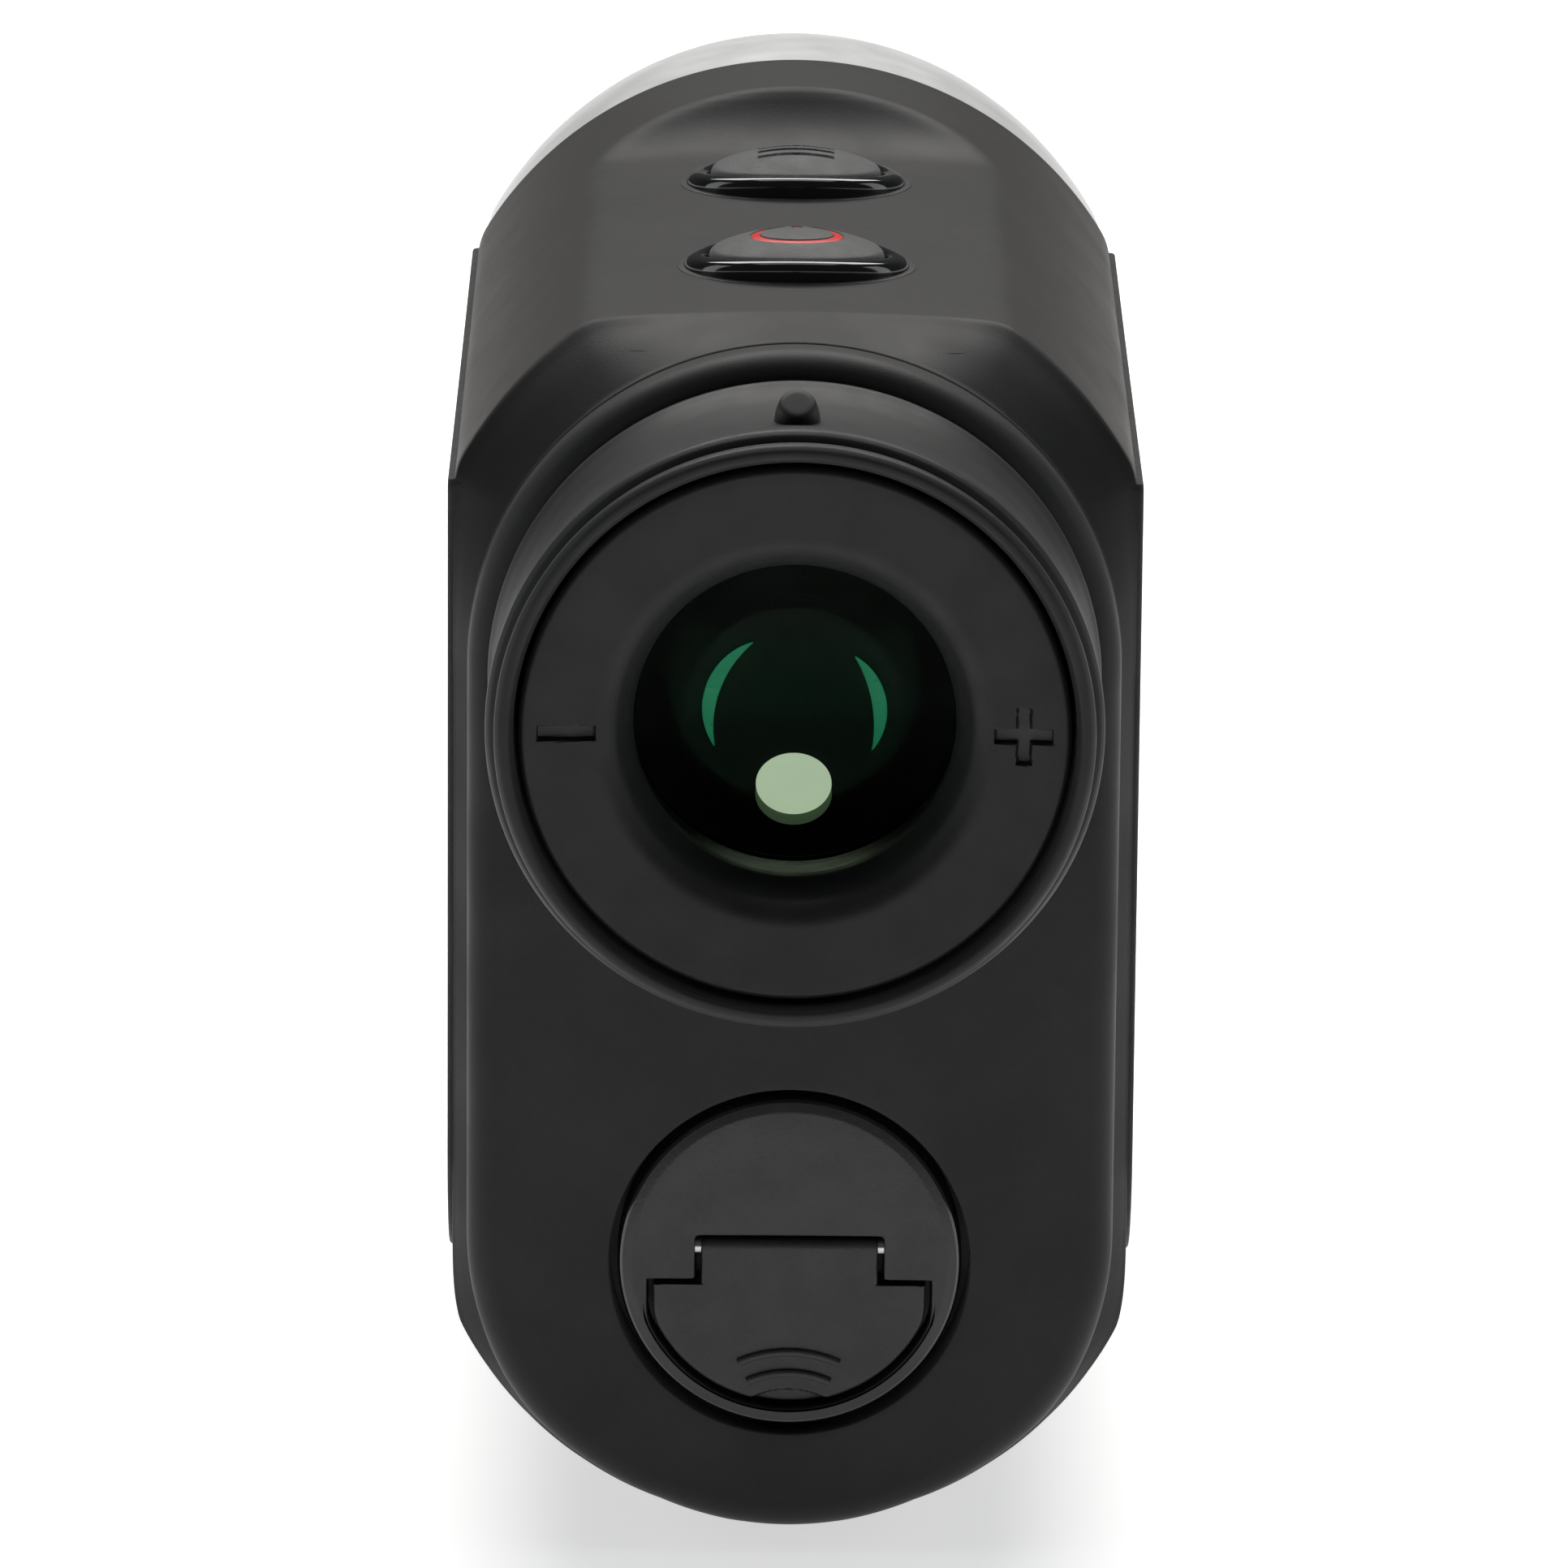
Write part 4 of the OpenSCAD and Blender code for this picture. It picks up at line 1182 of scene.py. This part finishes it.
def lens_path(
    r: float, y0: float, y1: float, bulge0: float, bulge1: float, rim: float = 1.55
) -> np.ndarray:
    """A lens profile: two spherical faces that bulge by the given amounts inside a flat rim.

    A face of bulge b over clear radius c has sphere radius (c squared + b squared) / 2b.

    Args:
        r: The lens radius.
        y0: The rear of the rim.
        y1: The front of the rim.
        bulge0: How far the rear face stands behind the rim.
        bulge1: How far the front face stands ahead of the rim.
        rim: The flat rim's width.

    Returns:
        The profile [n, 2], from pole to pole.
    """
    clear = r - rim
    t = clear * np.sin(np.linspace(0, np.pi / 2, 24))
    ball0 = (clear**2 + bulge0**2) / (2 * bulge0)
    ball1 = (clear**2 + bulge1**2) / (2 * bulge1)
    rear = y0 - bulge0 + ball0 - np.sqrt(ball0**2 - t**2)
    front = y1 + bulge1 - ball1 + np.sqrt(ball1**2 - t**2)
    edge = np.array([[r - 0.15, y0], [r, y0 + 0.15], [r, y1 - 0.15], [r - 0.15, y1]])
    return np.concatenate([np.stack([t, rear], 1), edge, np.stack([t, front], 1)[::-1]])


@dataclass
class Buttons:
    """The power and mode buttons: glossy bezels, domed caps, the red power sign and the mode bars."""

    mould: Mould
    power_y: float = 20.6
    mode_y: float = 42.7
    bezel_in: float = 5.35
    bezel_out: float = 6.8
    cap_r: float = 5.25
    oval: float = 0.76
    edge_z: float = 21.0
    dome: float = 0.85
    lean: float = 0.045
    low_z: float = 18.4
    drape_r: float = 38.0
    sign_r: float = 2.5
    sign_w: float = 0.5

    def drape(self, x: np.ndarray) -> np.ndarray:
        """How far a ring sinks at x, where it follows the crowned facet: x squared over 2 drape_r."""
        return x * x / (2 * self.drape_r)

    def bezel(self, y: float) -> Patch:
        """A ring with a round top, lowered by the drape, and leaning down towards the front.

        Args:
            y: The button's station.

        Returns:
            The closed surface.
        """
        mid, half = (self.bezel_in + self.bezel_out) / 2, (self.bezel_out - self.bezel_in) / 2
        bend = np.linspace(0, np.pi, 25)
        wide = np.sign(np.cos(bend)) * np.abs(np.cos(bend)) ** 0.7
        ring = np.stack([mid - half * wide, 20.3 + 0.68 * np.sin(bend) ** 0.8 - 0.12 * (1 - wide) / 2], 1)
        below = [[self.bezel_out, 18.9], [self.bezel_in, 18.9]]
        path = np.concatenate([[[self.bezel_in, 18.9]], ring, below])
        patch = turned(path, (0.0, 0.0), 200, Axis.UP)
        patch.points[..., 2] -= self.drape(patch.points[..., 0]) + self.lean * (patch.points[..., 1] + 2.0)
        patch.points[..., 1] = y + self.oval * patch.points[..., 1]
        return patch

    def top(self, r: np.ndarray) -> np.ndarray:
        """The dome's height at radius r: its crown less dome times the square of r over the cap's radius."""
        return self.edge_z + self.dome * (1 - (r / self.cap_r) ** 2)

    def cap(self, y: float, sunk: bool) -> Patch:
        """A domed cap. Its top is lowered inside the sign, and its outer edge is rounded.

        The power sign is a ring of radius sign_r with a gap at the front and a bar in the gap; the
        mode sign is three bars. Depth is 0.14 mm, and it fades over 0.08 mm.

        Args:
            y: The button's station.
            sunk: True for the power sign, False for the mode bars.

        Returns:
            The closed surface.
        """
        angle = np.linspace(0, 2 * np.pi, 240, endpoint=False)
        r = np.concatenate([[0.0], np.arange(0.08, 4.7, 0.075), [4.75, 4.85]])[:, None]
        u, v = r * np.cos(angle), r * np.sin(angle)
        if sunk:
            half = self.sign_w / 2
            ring = np.minimum(half - np.abs(r - self.sign_r) + 0 * u, np.where(v > 0, np.abs(u) - 0.8, 9.0))
            bar = np.minimum(half - np.abs(u), np.minimum(v - 1.3, 3.2 - v))
            inside = np.maximum(ring, bar)
        else:
            away = np.abs(v - 1.5 * np.clip(np.round(v / 1.5), -1, 1))
            inside = np.minimum(0.3 - away, 2.3 - np.abs(u))
        z = self.top(r) - 0.14 * ease(inside / 0.08 + 1.0)
        bend = np.linspace(0, np.pi / 2, 7)[1:, None]
        round_r = 4.85 + 0.4 * np.sin(bend)
        base = self.top(np.array([[4.85]])) - 0.02
        edge_z = base - 0.42 * (1 - np.cos(bend))
        skirt_r = np.array([[self.cap_r], [self.cap_r], [4.9], [0.0]])
        skirt_z = np.array([[19.9], [18.5], [18.4], [18.4]])
        radius = np.concatenate([r, round_r, skirt_r])
        tail = np.concatenate([edge_z, skirt_z]) + 0 * angle
        z = np.concatenate([z, tail])
        x = radius * np.cos(angle)
        return Patch(np.stack([x, y + self.oval * radius * np.sin(angle), z - self.drape(x)], -1))

    def sign(self) -> list[Patch]:
        """The red fill: an open ring and a bar, each a thin bar bent along its path.

        Returns:
            The two closed surfaces.
        """
        gap = math.asin(0.8 / self.sign_r)
        sweep = np.linspace(np.pi / 2 + gap, np.pi / 2 + 2 * np.pi - gap, 120)[:, None]
        across = np.array([-1.0, -0.5, 0.0, 0.5, 1.0, 1.0, 0.0, -1.0]) * self.sign_w / 2
        level = np.array([-0.06, -0.05, -0.05, -0.05, -0.06, -0.45, -0.45, -0.45])
        r = self.sign_r + across
        x, y = r * np.cos(sweep), r * np.sin(sweep)
        ring = np.stack([x, self.power_y + self.oval * y, self.top(r) + level - self.drape(x)], -1)
        along = np.linspace(1.3, 3.2, 16)[:, None]
        far = np.hypot(across, along)
        x2 = across + 0 * along
        y2 = self.power_y + self.oval * along + 0 * across
        bar = np.stack([x2, y2, self.top(far) + level - self.drape(x2)], -1)
        return [swept(ring), swept(bar)]

    def gap_shade_ring(self, y: float) -> Patch:
        """Painted shade for the gap round a bezel: a thin dark ring, in the seal rubber finish, that follows
        the facet.

        Args:
            y: The button's station.

        Returns:
            The closed surface.
        """
        path = soften([(6.6, 18.9), (7.15, 18.9), (7.15, 19.84), (6.6, 19.9)], 0.06, 3)
        patch = turned(path, (0.0, 0.0), 160, Axis.UP)
        patch.points[..., 1] = y + (self.oval + 0.01) * patch.points[..., 1]
        patch.points[..., 2] -= patch.points[..., 0] ** 2 / 300.0
        return patch

    def build(self) -> None:
        """Builds and dresses both buttons."""
        mould = self.mould
        for name, y in (("power", self.power_y), ("mode", self.mode_y)):
            mould.piece(f"{name}_bezel_ring", [self.bezel(y)], Slot.GLOSS, "housing", (f"{name}_bezel",))
            # painted shade: a thin dark ring stands for the shaded gap round each bezel
            mould.piece(f"{name}_painted_gap_shade", [self.gap_shade_ring(y)], Slot.SEAL, "housing")
        power = [self.cap(self.power_y, True)]
        mould.piece("power_button_cap", power, Slot.BUTTON, "power_button", ("power_cap",))
        mould.piece("power_sign", self.sign(), Slot.RED, "power_button", ("power_mark",))
        mode = [self.cap(self.mode_y, False)]
        mould.piece("mode_button_cap", mode, Slot.BUTTON, "mode_button", ("mode_cap",))


@dataclass
class BatteryBay:
    """The battery cap with its flip-up tab, the cell and its contact spring."""

    mould: Mould
    axis_z: float = -36.4
    star_z: float = -39.0
    cap_r: float = 10.25
    tab_r: float = 8.9
    stem_half: float = 5.35
    shoulder_z: float = -37.7
    side_x: float = 8.2
    pin_z: float = -35.6
    notch_z: float = -49.1
    tab_t: float = 1.5
    columns: int = 480

    def disc(self, r: float) -> np.ndarray:
        """How far a circle of radius r about the battery axis is from the star point, in each column.

        Args:
            r: The circle's radius.

        Returns:
            The distances.
        """
        angle = np.linspace(0, 2 * np.pi, self.columns, endpoint=False)
        lead = (self.star_z - self.axis_z) * np.sin(angle)
        return -lead + np.sqrt(lead**2 + r * r - (self.star_z - self.axis_z) ** 2)

    def outline(self, grow: float, stem_top: float) -> np.ndarray:
        """The tab's outline as a distance from the star point in each column.

        It is the nearer of the half moon's arc and the further of the stem and the block below it,
        with the crossings rounded.

        Args:
            grow: How far the outline is grown.
            stem_top: The height at which the stem ends.

        Returns:
            The distances.
        """
        angle = np.linspace(0, 2 * np.pi, self.columns, endpoint=False)
        c, s = np.abs(np.cos(angle)), np.sin(angle)
        far = 99.0
        up = np.maximum(s, 1e-3)
        stem = soft_min((self.stem_half + grow) / np.maximum(c, 1e-3),
                        np.where(s > 0, (stem_top - self.star_z) / up, far), 0.5)
        stem = np.where(s > -0.2, stem, 0.0)
        roof = np.where(s > 1e-3, (self.shoulder_z + grow - self.star_z) / up, far)
        block = soft_min(roof, (self.side_x + grow) / np.maximum(c, 1e-3), 0.35)
        moon = soft_min(self.disc(self.tab_r + grow), block, 0.3)
        return np.minimum(self.disc(self.tab_r + grow), -soft_min(-stem, -moon, 0.2))

    def star(self, rho: np.ndarray, y: np.ndarray) -> Patch:
        """Rings at distance rho from the star point, at station y.

        Args:
            rho: Distances [rows, columns].
            y: Stations, in the same way.

        Returns:
            The surface.
        """
        angle = np.linspace(0, 2 * np.pi, self.columns, endpoint=False)
        rho, y = np.broadcast_arrays(rho, y)
        return Patch(np.stack([rho * np.cos(angle), y, self.star_z + rho * np.sin(angle)], -1))

    def ringed(self, rows: Rows, like: np.ndarray) -> Patch:
        """The star surface through rows of a radius and a depth.

        Args:
            rows: For each ring its radius and its depth, as one number or one for each angle.
            like: One number for each angle, which gives the shape that each ring is filled out to.

        Returns:
            The closed surface.
        """
        radii = np.stack([r + 0 * like for r, _ in rows])
        return self.star(radii, np.stack([y + 0 * like for _, y in rows]))

    def cap_patch(self) -> Patch:
        """The cap: pocket floor and wall, face, chamfered rim, neck with its ring groove, and end."""
        pocket = self.outline(0.28, self.pin_z + 0.88)
        rows: Rows = [(0 * pocket, 1.8), (0.5 * pocket, 1.8), (pocket - 0.3, 1.8), (pocket - 0.08, 1.76),
                      (pocket, 1.6), (pocket, 0.3), (pocket, 0.1), (pocket + 0.03, -0.02),
                      (pocket + 0.1, -0.11), (pocket + 0.22, -0.15)]
        rim = self.disc(9.35)
        rows += [(pocket * (1 - s) + rim * s, -0.15) for s in (0.4, 0.8)]
        rows += [(self.disc(r), y) for r, y in (
            (9.35, -0.15), (9.42, -0.14), (9.5, -0.11), (9.95, 0.09), (10.08, 0.15), (10.17, 0.25),
            (10.23, 0.4), (self.cap_r, 0.6), (self.cap_r, 2.7), (10.2, 2.85), (10.1, 2.9),
            (9.27, 2.9), (9.27, 5.2), (8.27, 5.2), (8.27, 6.4), (9.27, 6.4), (9.27, 8.0),
            (9.0, 8.3), (5.0, 8.3))]
        rows += [(0 * pocket, 8.3)]
        return self.ringed(rows, pocket)

    def tab_patch(self) -> Patch:
        """The tab: a plate with rounded edges, a barrel at its hinge and a notch at its lower edge.

        The notch sinks the face by 0.5 mm inside a circle of radius 4.7 centred below the tab. The
        plate's thickness follows a circle above the pin, so that it can turn.

        Returns:
            The closed surface.
        """
        edge = self.outline(-0.08, self.pin_z + 0.6)
        back = [(0 * edge, 1.5), (0.6 * edge, 1.5), (edge - 0.3, 1.5), (edge - 0.1, 1.46), (edge, 1.34)]
        front = [(edge, 0.4), (edge, 0.25), (edge - 0.03, 0.13), (edge - 0.1, 0.04), (edge - 0.22, 0.0)]
        front += [((edge - 0.22) * (1 - s), 0.0) for s in np.linspace(0.02, 1.0, 56)]
        rows = back + front
        patch = self.ringed(rows, edge)
        x, y, z = patch.points[..., 0], patch.points[..., 1], patch.points[..., 2]
        notch = ease((4.7 - np.hypot(x, z - self.notch_z)) / 0.22 + 0.5)
        y = y + np.where(y < 0.75, notch * 0.5 * (1 - y / 0.75), 0.0)
        above = np.clip((z - self.pin_z) / 0.75, 0, 1)
        y = 0.75 + (y - 0.75) * np.sqrt(np.maximum(1 - above**2, 0.0))
        return Patch(np.stack([x, y, z], -1))

    def grip_bar(self, r: float) -> Patch:
        """A raised arc about the notch's middle, half round across and 50 degrees long.

        Args:
            r: The arc's radius.

        Returns:
            The closed surface.
        """
        sweep = np.radians(np.linspace(65, 115, 48))[:, None]
        bend = np.linspace(0, np.pi, 9)
        across = np.concatenate([np.cos(bend) * 0.25, [-0.25, 0.25]])
        level = np.concatenate([-0.29 * np.sin(bend) ** 0.6, [0.2, 0.2]])
        x, z = (r + across) * np.cos(sweep), self.notch_z + (r + across) * np.sin(sweep)
        return swept(np.stack([x, level + 0 * sweep, z], -1))

    def on_rim(self, middles: np.ndarray) -> np.ndarray:
        """True for each face middle [n, 3] on the cap's bright outer rim."""
        away = np.hypot(middles[:, 0], middles[:, 2] - self.axis_z)
        return (away > self.cap_r - 0.28) & (middles[:, 1] < 0.62)

    def on_bare_can(self, middles: np.ndarray) -> np.ndarray:
        """True for each face middle [n, 3] on the cell's bare ends, which the wrap leaves free."""
        away = np.hypot(middles[:, 0], middles[:, 2] - self.axis_z)
        return (away < 6.4) | (middles[:, 1] > 33.4)

    def spring(self) -> Patch:
        """The contact spring: a round wire along a cone-shaped coil of two and a half turns.

        Point t of the coil has angle 5 pi t, radius 5.4 - 2.6 t and station 37.7 - 1.35 t.

        Returns:
            The closed surface.
        """
        t = np.linspace(0, 1, 200)[:, None]
        turn, b = 5 * np.pi * t, np.linspace(0, 2 * np.pi, 12, endpoint=False)
        r = 5.4 - 2.6 * t + 0.3 * np.cos(b)
        y = 37.7 - 1.35 * t + 0.3 * np.sin(b)
        return swept(np.stack([r * np.cos(turn), y, self.axis_z + r * np.sin(turn)], -1))

    def build(self) -> None:
        """Builds and dresses the cap, tab, cell and spring."""
        mould = self.mould
        cap = mould.piece("battery_cap_body", [self.cap_patch()], Slot.CAP, "battery_cap", ("battery_cap",))
        mould.second_finish(cap, Slot.GLOSS, self.on_rim)
        tab = [self.tab_patch(), self.grip_bar(5.8), self.grip_bar(7.1)]
        mould.piece("cap_flip_tab", tab, Slot.CAP, "cap_tab", ("cap_tab",))
        cell = soften([(0.0, 8.9), (6.9, 8.9), (7.0, 9.2), (7.8, 9.3), (7.8, 33.2), (7.5, 33.5), (7.5, 33.9),
                       (7.8, 34.2), (7.8, 34.6), (6.6, 34.75), (3.3, 34.7), (3.2, 35.9), (0.0, 35.9)], 0.12)
        cell = cell[(cell[:, 0] > 0) | (np.arange(len(cell)) == 0)]
        cell = np.concatenate([[[0.0, 8.9]], cell[1:-1], [[0.0, 35.9]]])
        cell_mesh = turned(cell, (0.0, self.axis_z), 128)
        piece = mould.piece("battery_cell_can", [cell_mesh], Slot.WRAP, "cell", ("battery_cell",))
        mould.second_finish(piece, Slot.STEEL, self.on_bare_can)
        mould.piece("contact_coil", [self.spring()], Slot.STEEL, "housing", ("contact_spring",))


@dataclass
class FrontOptics:
    """The two front lenses in their stepped rims, and the threaded tripod bush."""

    mould: Mould
    objective_r: float = 12.2
    receiver_r: float = 8.9
    receiver_z: float = -32.0
    bush_y: float = 46.0
    bush_r: float = 4.3
    foot_z: float = -54.8
    core_r: float = 2.55
    pitch: float = 1.27

    def bush_patch(self) -> Patch:
        """The bush: a sleeve whose bore carries a screw thread.

        In the bore the radius is the core's plus 0.45 mm times a rounded saw of the height over
        the pitch less the angle over a full turn. The thread fades out at both ends.

        Returns:
            The closed surface.
        """
        angle = np.linspace(0, 2 * np.pi, 96, endpoint=False)
        low, deep = self.foot_z, self.foot_z + 6.5
        bore_z = np.linspace(low + 0.4, deep - 0.2, 110)
        path = np.concatenate([
            [[self.bush_r, deep + 0.6], [self.bush_r, low + 0.15], [self.bush_r - 0.15, low + 0.02],
             [3.5, low + 0.02], [3.15, low + 0.12]],
            np.stack([np.full(110, self.core_r), bore_z], 1),
            [[self.core_r, deep], [0.0, deep]],
        ])
        r, z = path[:, :1] + 0 * angle, path[:, 1:] + 0 * angle
        fade = ease((z - low - 0.4) / 0.8) * ease((deep - 0.2 - z) / 0.8)
        in_bore = (np.arange(len(path)) >= 5) & (np.arange(len(path)) < 115)
        saw = np.abs(np.mod(z / self.pitch - angle / (2 * np.pi), 1.0) * 2 - 1)
        r = r + np.where(in_bore[:, None], 0.45 * ease(saw * 1.2 - 0.1) * fade, 0.0)
        outer = np.stack([r * np.cos(angle), self.bush_y + r * np.sin(angle), z], -1)
        lid = np.stack([0 * angle, self.bush_y + 0 * angle, deep + 0.6 + 0 * angle], -1)[None]
        return Patch(np.concatenate([lid, outer]))

    def rim(self, r: float, z: float) -> Patch:
        """A barrel's rim with three light-trap steps inside, in front of the lens.

        Args:
            r: The lens radius.
            z: The height of its axis.

        Returns:
            The closed surface.
        """
        path = soften([
            (r - 1.5, 79.75), (r - 1.5, 80.6), (r - 1.2, 80.8), (r - 1.2, 81.6), (r - 0.9, 81.8),
            (r - 0.9, 82.5), (r - 0.3, 83.1), (r, 84.3), (r + 0.35, 84.8), (r + 1.0, 84.8), (r + 1.19, 84.6),
            (r + 1.19, 83.1), (r + 0.03, 83.0), (r + 0.03, 79.75),
        ], 0.12, 4)
        return turned(path, (0.0, z), 160)

    def build(self) -> None:
        """Builds and dresses the rims, lenses and bush."""
        mould = self.mould
        rims = {"objective": (self.objective_r, 0.0), "receiver": (self.receiver_r, self.receiver_z)}
        for name, (r, z) in rims.items():
            mould.piece(f"{name}_rim", [self.rim(r, z)], Slot.ANODISED, "housing", (f"{name}_ring",))
        lens = turned(lens_path(self.objective_r - 0.02, 75.4, 79.6, 1.0, 1.6), columns=128)
        mould.piece("objective_glass", [lens], Slot.COATED, "housing", ("objective_lens",))
        lens = turned(lens_path(self.receiver_r - 0.02, 75.4, 79.6, 0.8, 1.4), (0.0, self.receiver_z), 128)
        mould.piece("receiver_glass", [lens], Slot.DARK_GLASS, "housing", ("receiver_lens",))
        mould.piece("threaded_bush", [self.bush_patch()], Slot.BRASS, "housing", ("tripod_bush",))


@dataclass
class Inside:
    """The CAD nodes whose shape is kept: each takes the finish of its slot in the record."""

    wardrobe: Wardrobe

    def build(self) -> None:
        """Dresses every CAD node that is still shown."""
        slots = {part["node"]: Slot(part["material_slot"]) for part in frame["record"]["subparts"]}
        for name, node in frame["nodes"].items():
            if node.hide_render:
                continue
            node.data.materials.clear()
            node.data.materials.append(self.wardrobe.get(slots[name]))
            LOG.info("%s: kept from the CAD, %s", name, slots[name].value)


@dataclass
class Studio:
    """Camera, pale floor and soft lights."""

    distance: float = 0.6737
    elevation: float = 15.45
    yaw: float = 0.25
    roll: float = 0.5
    lens: float = 263.5
    shift: tuple[float, float] = (-13 / 1932, -136 / 1932)

    def camera(self, aim: np.ndarray) -> None:
        """Places the camera behind and above the eyepiece, looking along +Y and down.

        Args:
            aim: The point that it looks at, in the CAD frame.
        """
        data = bpy.data.cameras.new("camera")
        data.lens, data.sensor_width = self.lens, 36.0
        data.shift_x, data.shift_y = self.shift
        data.clip_start, data.clip_end = 0.01, 20.0
        made = bpy.data.objects.new("camera", data)
        tilt = math.radians(self.elevation)
        ahead = Vector((0.0, math.cos(tilt), -math.sin(tilt)))
        swing = Matrix.Rotation(math.radians(-self.yaw), 4, "Z")
        roll = Matrix.Rotation(math.radians(self.roll), 4, "Z")
        turn = swing @ Matrix.Rotation(math.pi / 2 - tilt, 4, "X") @ roll
        made.matrix_world = Matrix.Translation(Vector(aim) - swing @ ahead * self.distance) @ turn
        bpy.context.scene.collection.objects.link(made)
        bpy.context.scene.camera = made

    def floor(self) -> None:
        """A wide, pale, faintly mottled floor."""
        reach = 4.0
        corners = [(-reach, -reach, 0.0), (reach, -reach, 0.0), (reach, reach, 0.0), (-reach, reach, 0.0)]
        mesh = bpy.data.meshes.new("floor")
        mesh.from_pydata(corners, [], [(0, 1, 2, 3)])
        made = bpy.data.objects.new("floor", mesh)
        bpy.context.scene.collection.objects.link(made)
        mesh.materials.append(PALE_FLOOR.build())

    def light(
        self, name: str, place: Colour, size: tuple[float, float], watts: float, tint: Colour, aim: Vector
    ) -> None:
        """A soft rectangular light that faces the object.

        Args:
            name: The light's name.
            place: Where it stands, in metres.
            size: Its width and height.
            watts: Its power.
            tint: Its colour.
            aim: The point that it faces.
        """
        data = bpy.data.lights.new(name, "AREA")
        data.shape, data.size, data.size_y = "RECTANGLE", size[0], size[1]
        data.energy, data.color = watts, tint
        made = bpy.data.objects.new(name, data)
        way = aim - Vector(place)
        turn = way.to_track_quat("-Z", "Y").to_matrix().to_4x4()
        made.matrix_world = Matrix.Translation(Vector(place)) @ turn
        bpy.context.scene.collection.objects.link(made)

    def build(self, aim: np.ndarray) -> None:
        """Sets up the whole studio.

        Args:
            aim: The eyepiece axis at the rear face.
        """
        scene = bpy.context.scene
        scene.view_settings.view_transform = "Standard"
        world = bpy.data.worlds.new("studio")
        world.use_nodes = True
        world.node_tree.nodes["Background"].inputs["Color"].default_value = (0.93, 0.96, 1.0, 1.0)
        world.node_tree.nodes["Background"].inputs["Strength"].default_value = 0.055
        scene.world = world
        self.camera(aim)
        self.floor()
        middle = Vector((0.0, 0.0, 0.045))
        self.light("top_back", (0.0, 0.45, 0.75), (0.9, 0.5), 8.0, (1.0, 0.98, 0.95), middle)
        self.light("top", (0.0, -0.05, 1.0), (0.8, 0.4), 1.6, (0.97, 0.98, 1.0), middle)
        self.light("left", (-0.75, -0.05, 0.30), (0.3, 0.6), 0.8, (0.92, 0.96, 1.0), middle)
        self.light("right", (0.75, -0.05, 0.30), (0.3, 0.6), 0.8, (0.92, 0.96, 1.0), middle)


def main() -> None:
    """Builds every sub-assembly in order, then the studio."""
    logging.basicConfig(level=logging.INFO, format="%(name)s: %(message)s")
    wardrobe = Wardrobe()
    mould = Mould(wardrobe)
    parts = [kind(mould) for kind in (Housing, Eyepiece, Buttons, BatteryBay, FrontOptics)]
    for part in [*parts, Inside(wardrobe)]:
        part.build()
    Studio().build(mould.origin)
    bpy.context.view_layer.update()


if __name__ == "__main__":
    main()
